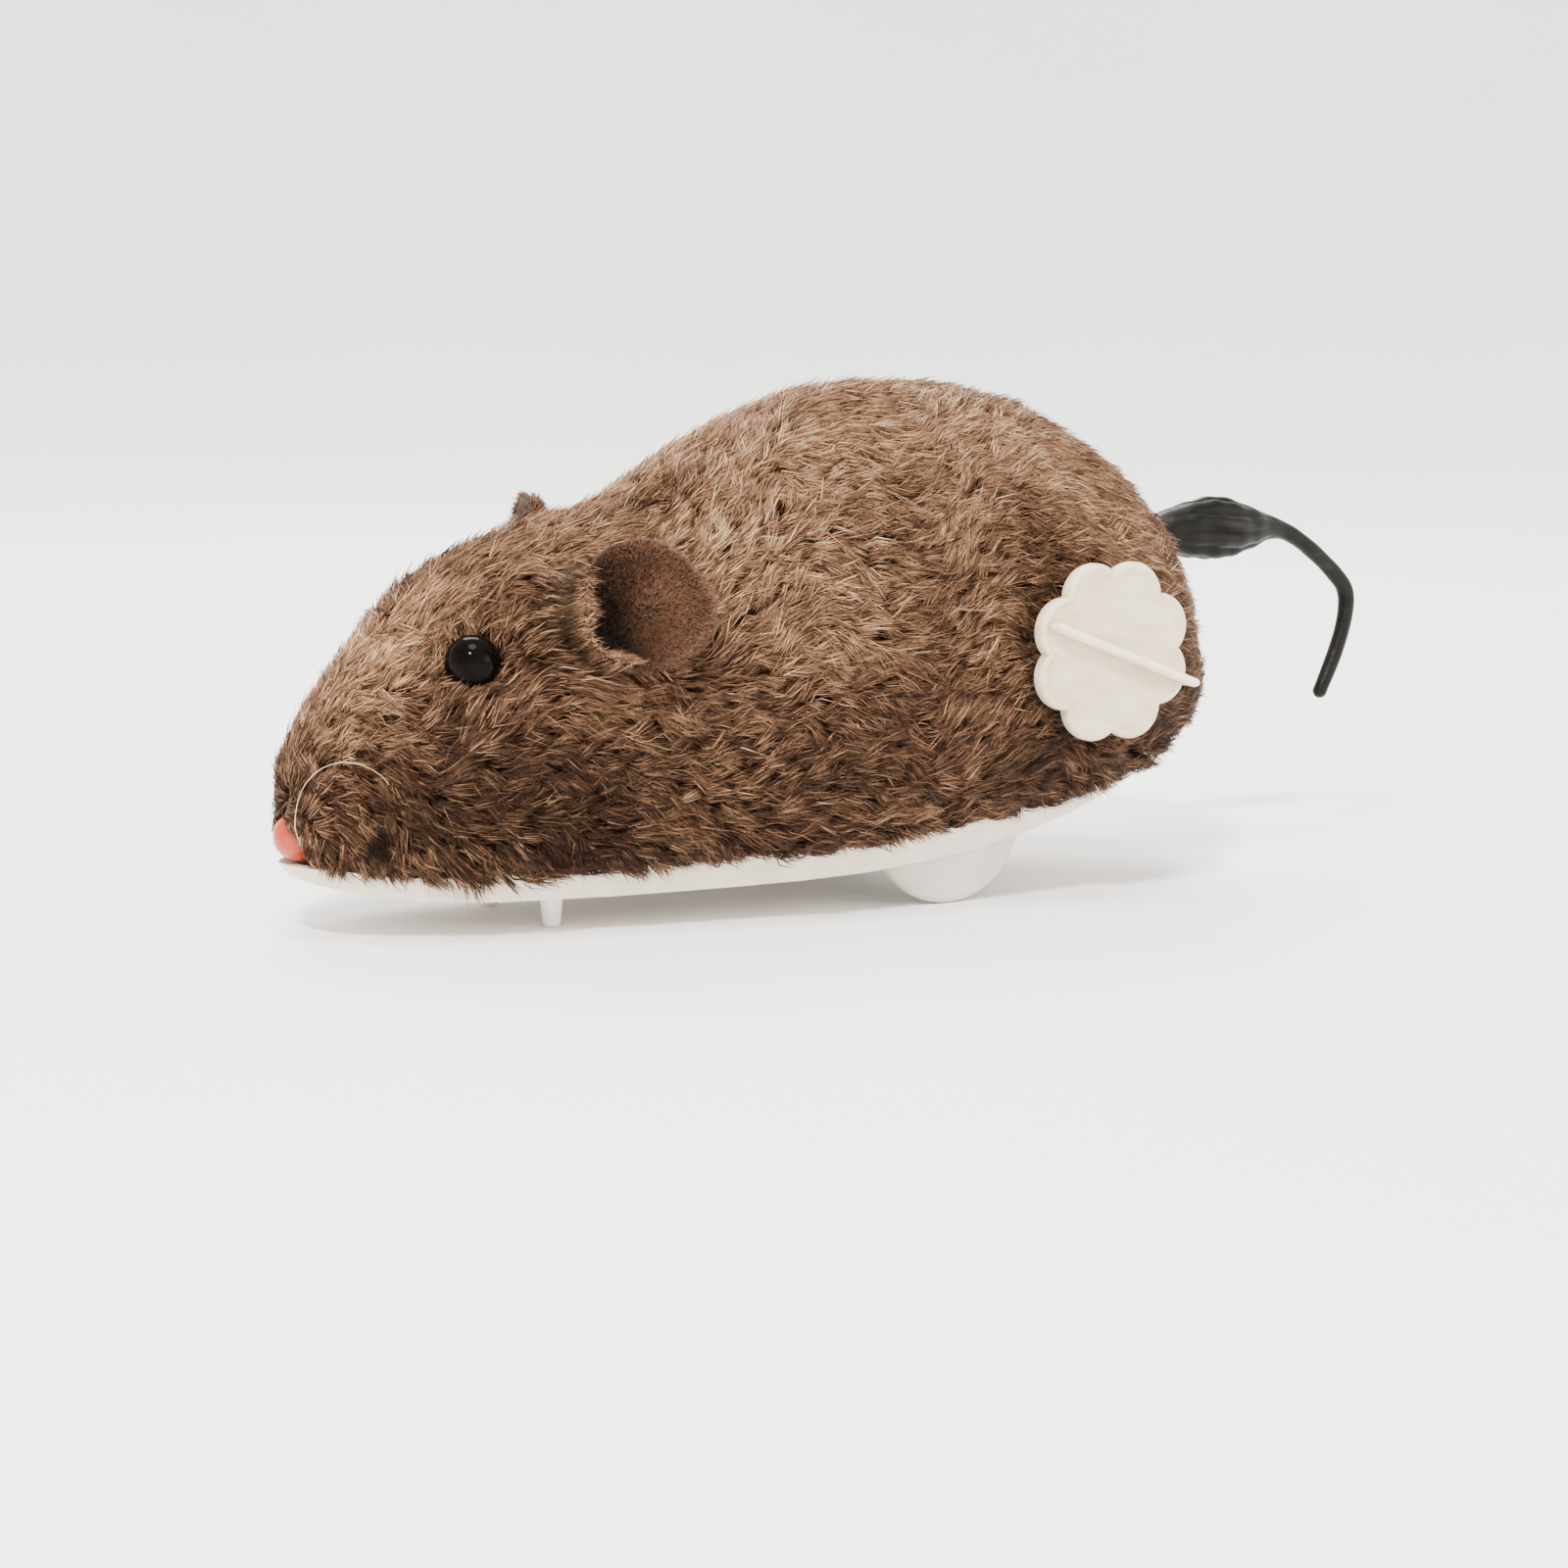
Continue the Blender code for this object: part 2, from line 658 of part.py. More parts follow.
def tail():
    """A soft rubber tail: a thick grip pushed over the shaft, then a thin drooping tube."""
    shape = np.array(TAIL_SHAPE)
    route = np.column_stack([shape[:, 0] + TAIL_MOUTH_X, np.zeros(len(shape)), shape[:, 1]])
    path = rounded_path(route, 2)
    radii = np.interp(np.arange(len(path)) / 2, np.arange(len(shape)), shape[:, 2])
    rings = tube_rings(path, radii, 12)
    bore = ARBOR_RADIUS + GAP
    mouth = tube_rings(path[:2], [bore, bore], 12)[0]
    bottom = mouth + np.array([5.0, 0, 0])
    tip = rings[-1] * 0.4 + rings[-1].mean(axis=0) * 0.6 + (path[-1] - path[-2]) * 0.3
    points, faces = loft(np.concatenate([[bottom, mouth], rings, [tip]]))
    add("tail", points, faces, "tail_rubber", (0, 0, TAIL_HEIGHT))


def tail_drive():
    """The shaft that turns the tail, its pinion, its bearing bracket and its bush in the rump."""
    start = TAIL_PINION_X - 1.6
    shaft_end = TAIL_MOUTH_X + 4.6
    centre = (0, 0, TAIL_HEIGHT)
    rod("tail_shaft", "steel", centre, (start, shaft_end), ARBOR_RADIUS, "X")
    outline = np.array(gear_outline(PINION_TEETH, 0.5, 0.18))
    points, faces = upright(outline, (-0.9, 0.9), ARBOR_RADIUS + GAP)
    points = points[:, [1, 0, 2]]
    add("tail_pinion", points, faces, "gear_plastic", (TAIL_PINION_X, 0, TAIL_HEIGHT))
    sleeve = sleeve_shape(((49.5, 2.3), (58.3, 2.3)), 1.3, "X")
    add("tail_bush", *sleeve, "nylon", centre)
    arm = box(
        "tail_shaft_bracket",
        (34.8, -2.0, TAIL_HEIGHT - 2.2),
        (37.2, PLATE_INNER - GAP, TAIL_HEIGHT + 2.2),
        "white_plastic",
    )
    cut(arm, "tail_shaft_bracket_cut", cylinder((33, 39), ARBOR_RADIUS + GAP, "X"), centre)


def sleeve_shape(outer, bore, axis, sides=14):
    """A ring of revolution: the outer profile closed by a straight bore."""
    angles = np.arange(sides) * 2 * math.pi / sides
    rings = []
    for reach, radius in (*outer, (outer[-1][0], bore), (outer[0][0], bore)):
        rings.append([(reach, radius * math.cos(a), radius * math.sin(a)) for a in angles])
    points, faces = loft(rings, ring_closed=True)
    if axis == "Y":
        points = points[:, [1, 0, 2]]
    return points, faces


# Clockwork motor


def knob_outline():
    """Eight arcs, each centred a little inside the rim, so that they meet in shallow notches."""
    lobe_centre, lobe_radius = KNOB_RADIUS * 0.64, KNOB_RADIUS * 0.36
    outline = []
    for step in range(KNOB_SIDES):
        angle = step * 2 * math.pi / KNOB_SIDES
        off = angle % (2 * math.pi / KNOB_LOBES) - math.pi / KNOB_LOBES
        reach = lobe_centre * math.cos(off)
        reach += math.sqrt(lobe_radius**2 - (lobe_centre * math.sin(off)) ** 2)
        outline.append((reach * math.cos(angle), reach * math.sin(angle)))
    return outline


def winding_knob():
    """A scalloped disc, a hub behind it that takes the arbor, and a thin fin across its face."""
    points, faces = upright(knob_outline(), (KNOB_FACE_Y, KNOB_FACE_Y + KNOB_DISC))
    knob = add("winding_knob", points, faces, "white_plastic", at(WINDING_ARBOR))
    points, faces = cylinder((KNOB_FACE_Y + 0.8, KNOB_HUB_END), KNOB_HUB_RADIUS, "Y", 16)
    boolean(knob, add("knob_hub", points, faces, "", at(WINDING_ARBOR), hidden=True), "UNION")
    half = FIN_THICKNESS / 2
    ends = ((FIN_ENDS[0], half), (FIN_ENDS[0], -half), (FIN_ENDS[1], -half), (FIN_ENDS[1], half))
    turn = np.array([
        (math.cos(-FIN_TURN), -math.sin(-FIN_TURN)),
        (math.sin(-FIN_TURN), math.cos(-FIN_TURN)),
    ])
    fin = np.array(ends) @ turn.T
    points, faces = upright(fin, (KNOB_FACE_Y - FIN_HEIGHT, KNOB_FACE_Y + 0.6))
    boolean(knob, add("knob_fin", points, faces, "", at(WINDING_ARBOR), hidden=True), "UNION")
    bore = cylinder((KNOB_FACE_Y + 1.0, -20), WINDING_RADIUS + GAP, "Y")
    cut(knob, "knob_bore", bore, at(WINDING_ARBOR))


def winding_parts():
    rod("winding_arbor", "steel", at(WINDING_ARBOR), (-28.2, 11.6), WINDING_RADIUS)
    teeth, tip, root = 12, 5.0, 4.0
    outline = []
    for tooth in range(teeth):
        start = tooth * 2 * math.pi / teeth
        outline.append((tip * math.cos(start), tip * math.sin(start)))
        outline.append((root * math.cos(start + 0.03), root * math.sin(start + 0.03)))
        middle = start + math.pi / teeth
        radius = (tip + root) / 2
        outline.append((radius * math.cos(middle), radius * math.sin(middle)))
    points, faces = upright(outline, RATCHET_PLANE, WINDING_RADIUS + GAP)
    add("ratchet_wheel", points, faces, "steel", at(WINDING_ARBOR))
    mainspring()


def mainspring():
    """A flat steel strip wound in a spiral from the arbor to the frame's rear pillar."""
    inner, outer, turns, strip = 1.9, 9.7, 7, 0.35
    steps = 16 * turns
    angles = np.linspace(0, 2 * math.pi * turns, steps + 1) + 0.3
    radii = np.linspace(inner, outer, steps + 1)
    low, high = SPRING_PLANE
    rings = []
    for angle, radius in zip(angles, radii):
        corners = ((radius - strip / 2, low), (radius + strip / 2, low))
        corners += ((radius + strip / 2, high), (radius - strip / 2, high))
        rings.append([(reach * math.cos(angle), y, reach * math.sin(angle)) for reach, y in corners])
    points, faces = loft(rings)
    add("mainspring", points, faces, "spring_steel", at(WINDING_ARBOR))


def gear(name, arbor, teeth, plane, phase, bore, look="gear_plastic"):
    shares = (0.5, 0.18) if teeth == PINION_TEETH else (0.55, 0.2)
    points, faces = upright(gear_outline(teeth, *shares, phase=phase), plane, bore)
    return add(name, points, faces, look, at(arbor))


CLICK_PIVOT = (0.0, 8.6)
CLICK_OUTLINE = (
    (1.3, 9.2), (0.5, 9.9), (-0.8, 9.8), (-1.5, 8.6), (-4.3, 5.5),
    (-4.6, 4.0), (-3.3, 4.6), (-0.4, 7.5), (1.2, 8.0),
)


def great_wheel_parts():
    """The great wheel and the click that it carries on a rivet, which holds the ratchet wheel."""
    gear("great_wheel", WINDING_ARBOR, GREAT_TEETH, GREAT_PLANE, 0.0, WINDING_RADIUS + GAP, "brass")
    points, faces = upright(CLICK_OUTLINE, (RATCHET_PLANE[0] - 0.05, RATCHET_PLANE[1]))
    click = add("click", points, faces, "steel", at(WINDING_ARBOR))
    place = (WINDING_ARBOR[0] + CLICK_PIVOT[0], 0, WINDING_ARBOR[1] + CLICK_PIVOT[1])
    cut(click, "click_hole", cylinder((-6, 0), 0.75, "Y"), place)
    profile = [(GREAT_PLANE[1] + GAP, 0.45), (-2.6, 0.45), (-2.6, 1.1), (-2.35, 1.1)]
    points, faces = turned(profile, "Y", 12)
    add("click_rivet", points, faces, "brass", place)


def train_phase(teeth, angle, partner_teeth, partner_phase, partner_angle):
    """Turns a gear so that a gap faces the partner's tooth on the line between their arbors."""
    pitch = 2 * math.pi / partner_teeth
    offset = ((partner_angle - partner_phase) / pitch) % 1.0
    return angle + (0.5 + offset) * 2 * math.pi / teeth


def gear_train():
    """Great wheel to intermediate arbor to drive axle, and great wheel to crown wheel to tail."""
    great_wheel_parts()
    bore = ARBOR_RADIUS + GAP
    to_middle = mesh_angle(WINDING_ARBOR, INTERMEDIATE_ARBOR)
    back = to_middle + math.pi
    phase = train_phase(PINION_TEETH, back, GREAT_TEETH, 0.0, to_middle)
    rod("intermediate_arbor", "steel", at(INTERMEDIATE_ARBOR), (-11.4, 11.4), ARBOR_RADIUS)
    gear("intermediate_pinion", INTERMEDIATE_ARBOR, PINION_TEETH, PINION_PLANE, phase, bore)
    gear("intermediate_wheel", INTERMEDIATE_ARBOR, WHEEL_TEETH, WHEEL_PLANE, 0.0, bore)
    to_axle = mesh_angle(INTERMEDIATE_ARBOR, DRIVE_AXLE)
    phase = train_phase(PINION_TEETH, to_axle + math.pi, WHEEL_TEETH, 0.0, to_axle)
    gear("axle_pinion", DRIVE_AXLE, PINION_TEETH, AXLE_PINION_PLANE, phase, bore)
    to_crown = mesh_angle(WINDING_ARBOR, CROWN_ARBOR)
    phase = train_phase(PINION_TEETH, to_crown + math.pi, GREAT_TEETH, 0.0, to_crown)
    rod("crown_arbor", "steel", at(CROWN_ARBOR), (-11.4, 11.4), ARBOR_RADIUS)
    gear("crown_pinion", CROWN_ARBOR, PINION_TEETH, PINION_PLANE, phase, bore)
    crown_wheel()


BLOCK_FACES = ((0, 1, 2, 3), (4, 7, 6, 5), (0, 4, 5, 1), (1, 5, 6, 2), (2, 6, 7, 3), (3, 7, 4, 0))


def crown_wheel():
    """A disc with teeth standing sideways on its rim, which mesh with the tail's pinion."""
    low, high = CROWN_DISC_PLANE
    tip = PINION_RADIUS - 0.8 * MODULE
    half = 0.16 * math.pi * MODULE
    inner, outer = CROWN_RADIUS - 0.7, CROWN_RADIUS + 0.7
    sides = CROWN_TEETH * 2
    angles = np.arange(sides) * 2 * math.pi / sides
    rim = np.column_stack([np.cos(angles), np.sin(angles)]) * (outer + 0.3)
    points, faces = upright(rim, (low, high), ARBOR_RADIUS + GAP)
    wheel = add("crown_wheel", points, faces, "gear_plastic", at(CROWN_ARBOR))
    teeth_points, teeth_faces = [], []
    for tooth in range(CROWN_TEETH):
        angle = (tooth + 0.5) * 2 * math.pi / CROWN_TEETH
        way = np.array([math.cos(angle), 0, math.sin(angle)])
        across = np.array([-math.sin(angle), 0, math.cos(angle)])
        start = len(teeth_points)
        for y, wide in ((low + 0.5, half * 1.5), (tip, half * 0.7)):
            for reach, sign in ((inner, -1), (outer, -1), (outer, 1), (inner, 1)):
                teeth_points.append(way * reach + across * wide * sign + np.array([0, y, 0]))
        teeth_faces += [tuple(start + corner for corner in face) for face in BLOCK_FACES]
    teeth = add("crown_teeth", teeth_points, teeth_faces, "", at(CROWN_ARBOR), hidden=True)
    boolean(wheel, teeth, "UNION")


def drive_wheels():
    """The axle and two plain wheels with a shallow crowned face, each on a blind bore."""
    rod("drive_axle", "steel", at(DRIVE_AXLE), (-16.9, 16.9), ARBOR_RADIUS)
    bore = ARBOR_RADIUS + GAP
    for side, sign in (("left", -1), ("right", 1)):
        face = WHEEL_OUTER_Y
        back = face - WHEEL_WIDTH
        profile = [
            (face, 0), (face - 0.05, 4.5), (face - 0.3, 8.2), (face - 0.9, DRIVE_RADIUS),
            (back + 0.3, DRIVE_RADIUS), (back, 9.2), (back, 7.6), (back + 1.0, 7.2),
            (back + 1.0, 3.0), (back - 0.4, 2.8), (back - 0.4, bore), (face - 0.6, bore),
            (face - 0.6, 0),
        ]
        profile = [(sign * reach, radius) for reach, radius in profile]
        points, faces = turned(profile, "Y", 28)
        add(f"drive_wheel_{side}", points, faces, "white_plastic", at(DRIVE_AXLE))


PLATE_OUTLINE = (
    (3.0, 7.6), (12.9, 7.8), (14.2, 6.8), (20.6, 6.8), (23.8, 9.6), (30.0, 11.6), (43.0, 15.6),
    (47.6, 33.5), (40.0, 41.9), (18.0, 44.2), (7.0, 37.0),
)
FOOT_BARS = (("front", 6.0, 7.8), ("rear", 40.0, 14.7))
PILLARS = (("front", (9.4, 35.0)), ("rear", (45.0, 34.0)))


def frame():
    """Two plates held apart by two foot bars, which take the screws, and two upper pillars."""
    for side, sign in (("left", -1), ("right", 1)):
        near, far = sign * PLATE_INNER, sign * (PLATE_INNER + PLATE_THICKNESS)
        points, faces = upright(PLATE_OUTLINE, (min(near, far), max(near, far)))
        plate = add(f"frame_plate_{side}", points, faces, "white_plastic")
        for arbor, radius in (
            (WINDING_ARBOR, WINDING_RADIUS),
            (INTERMEDIATE_ARBOR, ARBOR_RADIUS),
            (CROWN_ARBOR, ARBOR_RADIUS),
            (DRIVE_AXLE, ARBOR_RADIUS),
        ):
            ends = (min(near, far) - 1, max(near, far) + 1)
            hole = cylinder(ends, radius + GAP, "Y")
            cut(plate, f"plate_hole_{side}_{arbor[0]:.0f}", hole, at(arbor))
    inside = PLATE_INNER - GAP
    for which, x, low in FOOT_BARS:
        corners = ((x - 2, -inside, low), (x + 2, inside, low + 3))
        bar = box(f"frame_foot_{which}", *corners, "white_plastic")
        cut(bar, f"foot_hole_{which}", cylinder((-1, 2.4), 1.1, "Z"), (x, 0, low))
        underside = float(smooth(x, TRAY_STATIONS, 1))
        profile = [(low + 2.0, 0.8), (underside - 0.7, 0.8), (underside - 0.7, 2.2)]
        profile += [(underside - 1.6, 2.2), (underside - 1.9, 1.4)]
        points, faces = turned(profile, "Z", 14)
        add(f"motor_screw_{which}", points, faces, "steel", (x, 0, 0))
    for which, place in PILLARS:
        rod(f"frame_pillar_{which}", "steel", at(place), (-inside, inside), 1.5)


def glides():
    """Two tapered nylon pegs under the chest that the front of the toy slides on."""
    x, y = GLIDE_PLACE
    underside = float(smooth(x, TRAY_STATIONS, 1))
    for side, sign in (("left", -1), ("right", 1)):
        profile = [
            (0.0, 0.95), (underside - GAP, 1.3), (underside - GAP, 0.85),
            (underside + TRAY_FLOOR + 0.4, 0.85),
        ]
        points, faces = turned(profile, "Z", 12)
        add(f"glide_{side}", points, faces, "nylon", (x, sign * y, 0))


def centre_on_origin():
    """Moves the parent empty so that the origin is the bottom centre of the finished pieces,
    measured with their modifiers, because the knob's fin is joined on by one."""
    bpy.context.view_layer.update()
    graph = bpy.context.evaluated_depsgraph_get()
    corners = []
    for found in bpy.data.objects:
        if found.type == "MESH" and not found.hide_render:
            finished = found.evaluated_get(graph)
            corners += [finished.matrix_world @ vertex.co for vertex in finished.data.vertices]
    corners = np.array(corners)
    low, high = corners.min(axis=0), corners.max(axis=0)
    ROOT.location = (-(low[0] + high[0]) / 2, -(low[1] + high[1]) / 2, -low[2])


clear_scene()
ROOT = bpy.data.objects.new("mouse", None)
bpy.context.scene.collection.objects.link(ROOT)
plush_skin()
body_shell()
base_tray()
for eye_side, eye_sign in (("left", -1), ("right", 1)):
    eye(eye_side, eye_sign)
    whisker(eye_side, eye_sign)
nose_bead()
for one_ear in EARS:
    ear(*one_ear)
tail()
tail_drive()
winding_knob()
winding_parts()
gear_train()
drive_wheels()
frame()
glides()
centre_on_origin()
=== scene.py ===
"""Looks of the clockwork plush mouse: pile, felt ears, beads, rubber tail and white mouldings,
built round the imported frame. Lengths in the tables are millimetres; MM turns them into metres."""

import json
import math

import bpy
import numpy as np
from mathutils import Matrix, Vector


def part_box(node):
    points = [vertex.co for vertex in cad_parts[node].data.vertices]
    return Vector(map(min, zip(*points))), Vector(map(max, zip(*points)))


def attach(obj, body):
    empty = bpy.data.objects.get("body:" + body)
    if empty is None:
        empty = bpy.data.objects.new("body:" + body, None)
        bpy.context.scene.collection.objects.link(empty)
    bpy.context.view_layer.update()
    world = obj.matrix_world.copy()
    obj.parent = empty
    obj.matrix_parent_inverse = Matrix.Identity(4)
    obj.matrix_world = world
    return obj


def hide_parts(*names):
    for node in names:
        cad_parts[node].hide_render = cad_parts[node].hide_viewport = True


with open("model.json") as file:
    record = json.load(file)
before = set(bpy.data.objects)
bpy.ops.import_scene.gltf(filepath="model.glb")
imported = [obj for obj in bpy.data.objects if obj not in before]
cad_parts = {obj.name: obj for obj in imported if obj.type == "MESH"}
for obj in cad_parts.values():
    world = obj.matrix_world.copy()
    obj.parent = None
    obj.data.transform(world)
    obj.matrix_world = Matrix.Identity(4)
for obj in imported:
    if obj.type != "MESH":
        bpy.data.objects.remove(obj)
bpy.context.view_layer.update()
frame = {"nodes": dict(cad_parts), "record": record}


# The floor, the camera and the lights. The camera looks at the left flank from a little towards
# the nose and a little above, with a short telephoto lens. A broad sun, a small key lamp, two
# large soft lamps and a pale world light it.

MM = 0.001
VIEW_AZIMUTH = math.radians(-30)
VIEW_ELEVATION = math.radians(8)
VIEW_DISTANCE = 400 * MM
VIEW_HEIGHT = 12.3 * MM
VIEW_AHEAD = 62.6 * MM
LENS = 80.1
LAMPS = (
    ("key_lamp", (-0.42, -0.45, 0.62), 0.09, 13.0, (1.0, 0.965, 0.92)),
    ("fill_lamp", (0.45, -0.62, 0.26), 0.35, 2.2, (1.0, 0.99, 0.97)),
    ("back_lamp", (0.15, 0.50, 0.60), 0.40, 8.0, (1.0, 0.98, 0.95)),
)
SUN_WAY = (-0.10, -0.22, 0.97)
SUN_STRENGTH = 3.2
SUN_SPREAD = math.radians(26)
WORLD_STRENGTH = 1.3
FLOOR_FLAT = 0.7
FLOOR_EDGE = 2.6
FLOOR_SWEEP = 0.5

skin_low = np.array(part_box("plush_skin")[0])
axle_low, axle_high = (np.array(corner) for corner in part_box("drive_axle"))
MIDDLE_Y = (axle_low[1] + axle_high[1]) / 2


def material(name, roughness=0.5):
    """A new Principled material; returns the material, its node tree and its shader."""
    made = bpy.data.materials.new(name)
    made.use_nodes = True
    shader = made.node_tree.nodes["Principled BSDF"]
    shader.inputs["Roughness"].default_value = roughness
    return made, made.node_tree, shader


def noise(tree, scale, detail=3.0, source="Object", stretch=(1, 1, 1)):
    """A Noise texture on object coordinates, stretched by its own scale on each axis."""
    place = tree.nodes.new("ShaderNodeTexCoord")
    mapping = tree.nodes.new("ShaderNodeMapping")
    mapping.inputs["Scale"].default_value = stretch
    pattern = tree.nodes.new("ShaderNodeTexNoise")
    pattern.inputs["Scale"].default_value = scale
    pattern.inputs["Detail"].default_value = detail
    tree.links.new(place.outputs[source], mapping.inputs["Vector"])
    tree.links.new(mapping.outputs["Vector"], pattern.inputs["Vector"])
    return pattern.outputs["Fac"]


def ramp(tree, value, *stops):
    """A colour ramp through (place, colour) stops."""
    made = tree.nodes.new("ShaderNodeValToRGB")
    slots = made.color_ramp.elements
    while len(slots) < len(stops):
        slots.new(0.5)
    for slot, (place, colour) in zip(slots, stops):
        slot.position = place
        slot.color = (*colour, 1)
    tree.links.new(value, made.inputs["Fac"])
    return made.outputs["Color"]


def paint(tree, shader, value, *stops):
    """Colours the surface by a ramp over a pattern."""
    tree.links.new(ramp(tree, value, *stops), shader.inputs["Base Color"])


def add(name, data):
    """A new object in the scene, at the origin."""
    made = bpy.data.objects.new(name, data)
    bpy.context.scene.collection.objects.link(made)
    return made


# A dish of paper: flat under the toy, then rising with the square of the distance, so that no
# horizon shows.
floor_reach = np.concatenate([[0.02, FLOOR_FLAT * 0.5], np.linspace(FLOOR_FLAT, FLOOR_EDGE, 40)])
floor_turn = np.linspace(0, 2 * math.pi, 97)[:-1]
floor_rise = FLOOR_SWEEP * np.clip(floor_reach - FLOOR_FLAT, 0, None) ** 2
floor_grid = np.stack([
    floor_reach[:, None] * np.cos(floor_turn), floor_reach[:, None] * np.sin(floor_turn),
    floor_rise[:, None] + 0 * floor_turn,
], axis=-1).reshape(-1, 3)
ring_start = np.arange(len(floor_reach) - 1)[:, None] * len(floor_turn)
spoke = np.arange(len(floor_turn))[None, :]
next_spoke = (spoke + 1) % len(floor_turn)
floor_quads = np.stack([
    ring_start + spoke, ring_start + len(floor_turn) + spoke,
    ring_start + len(floor_turn) + next_spoke, ring_start + next_spoke,
], axis=-1).reshape(-1, 4)
floor_mesh = bpy.data.meshes.new("floor")
floor_faces = [tuple(quad) for quad in floor_quads.tolist()] + [tuple(range(len(floor_turn)))]
floor_mesh.from_pydata(floor_grid.tolist(), [], floor_faces)
floor_mesh.shade_smooth()
floor = add("floor", floor_mesh)
paper, paper_tree, paper_shader = material("studio_paper", 0.9)
paint(
    paper_tree, paper_shader, noise(paper_tree, 6.0),
    (0.3, (0.90, 0.897, 0.89)), (0.7, (0.93, 0.927, 0.92)),
)
floor_mesh.materials.append(paper)

world = bpy.context.scene.world or bpy.data.worlds.new("studio")
bpy.context.scene.world = world
world.use_nodes = True
world.node_tree.nodes["Background"].inputs["Color"].default_value = (1.0, 0.995, 0.985, 1)
world.node_tree.nodes["Background"].inputs["Strength"].default_value = WORLD_STRENGTH
sun_data = bpy.data.lights.new("sun_lamp", "SUN")
sun_data.energy = SUN_STRENGTH
sun_data.angle = SUN_SPREAD
sun = add("sun_lamp", sun_data)
sun.rotation_euler = Vector(SUN_WAY).to_track_quat("Z", "Y").to_euler()

target = np.array([skin_low[0] + VIEW_AHEAD, MIDDLE_Y, VIEW_HEIGHT])
back_way = np.array([
    math.sin(VIEW_AZIMUTH) * math.cos(VIEW_ELEVATION),
    -math.cos(VIEW_AZIMUTH) * math.cos(VIEW_ELEVATION),
    math.sin(VIEW_ELEVATION),
])
camera_data = bpy.data.cameras.new("camera")
camera_data.lens = LENS
camera_data.clip_start = 0.01
camera = add("camera", camera_data)
camera.location = target + back_way * VIEW_DISTANCE
aim = Vector(-back_way)
camera.rotation_euler = aim.to_track_quat("-Z", "Y").to_euler()
bpy.context.scene.camera = camera

for lamp_name, lamp_place, lamp_size, lamp_power, lamp_colour in LAMPS:
    lamp_data = bpy.data.lights.new(lamp_name, "AREA")
    lamp_data.size = lamp_size
    lamp_data.energy = lamp_power
    lamp_data.color = lamp_colour
    lamp = add(lamp_name, lamp_data)
    lamp.location = lamp_place
    lamp.rotation_euler = (Vector(target) - lamp.location).to_track_quat("-Z", "Y").to_euler()


# The plush: a brown backing cloth in the shape of the body, and the pile that is woven into it.
# The pile is nearly 4 mm long and brushed from nose to tail, so its tips make the outline.

BODY_CENTRE = 2.0
BODY_HALF = 58.0
HEM_TURN = math.radians(124)
# Station, half width, height above the axis line, depth below it, the axis line's height.
BODY_STATIONS = np.array([
    (-56.0, 22.5, 24.0, 20.0, 14.5),
    (-49.0, 22.8, 27.0, 16.0, 15.4),
    (-39.0, 22.0, 30.0, 13.8, 17.0),
    (-27.0, 21.6, 27.6, 13.4, 19.2),
    (-17.0, 22.4, 26.2, 13.7, 20.8),
    (-8.0, 23.8, 29.2, 14.2, 22.0),
    (6.0, 25.8, 33.2, 14.9, 23.6),
    (22.0, 28.2, 36.0, 14.9, 24.7),
    (38.0, 32.2, 38.0, 14.4, 25.0),
    (50.0, 34.8, 38.5, 12.8, 25.0),
    (60.0, 36.0, 37.0, 11.5, 25.0),
])
# Body millimetres to the frame's metres: the nose's tip and the axle's middle tie the two.
SHIFT = np.array([skin_low[0] / MM - (BODY_CENTRE - BODY_HALF), MIDDLE_Y / MM, 0.0])
BACKING_DEPTH = 2.3
BACKING_CLOTH = 0.8
HEM_SINK = 0.9
HEM_EASE = math.radians(40)

rng = np.random.default_rng(31)


def place(points):
    """Body millimetres to the frame's metres."""
    return (points + SHIFT) * MM


def smooth(x, column):
    """A cubic Hermite curve through one column of the stations, with mean slopes at each."""
    places, values = BODY_STATIONS[:, 0], BODY_STATIONS[:, column]
    slopes = np.gradient(values, places)
    x = np.clip(x, places[0], places[-1])
    part = np.clip(np.searchsorted(places, x, side="right") - 1, 0, len(places) - 2)
    span = places[part + 1] - places[part]
    t = (x - places[part]) / span
    before = (2 * t**3 - 3 * t**2 + 1) * values[part] + (t**3 - 2 * t**2 + t) * span * slopes[part]
    return before + (3 * t**2 - 2 * t**3) * values[part + 1] + (t**3 - t**2) * span * slopes[part + 1]


def body_point(along, turn):
    """The body's outside: along runs 0 to pi from nose to rump, turn is 0 at the back's middle
    line and HEM_TURN at the hem. Every section's half width and height shrink with sin(along)."""
    along, turn = np.broadcast_arrays(along, turn)
    x = BODY_CENTRE - BODY_HALF * np.cos(along)
    height = smooth(x, 2)
    depth = smooth(x, 3) / -math.cos(HEM_TURN)
    rise = np.where(np.cos(turn) > 0, height, depth) * np.cos(turn) * np.sin(along)
    return np.stack([x, smooth(x, 1) * np.sin(along) * np.sin(turn), smooth(x, 4) + rise], axis=-1)


def body_frame(along, turn):
    """The unit vectors tailward, down the flank and outward, from small steps in both parameters."""
    along = np.clip(along, 0.03, math.pi - 0.03)
    step = 1e-4
    tailward = body_point(along + step, turn) - body_point(along - step, turn)
    downward = body_point(along, turn + step) - body_point(along, turn - step)
    outward = np.cross(tailward, downward)
    outward /= np.linalg.norm(outward, axis=-1, keepdims=True)
    downward /= np.linalg.norm(downward, axis=-1, keepdims=True)
    tailward -= outward * (tailward * outward).sum(-1, keepdims=True)
    tailward /= np.linalg.norm(tailward, axis=-1, keepdims=True)
    return tailward, downward * np.sign(turn)[..., None], outward


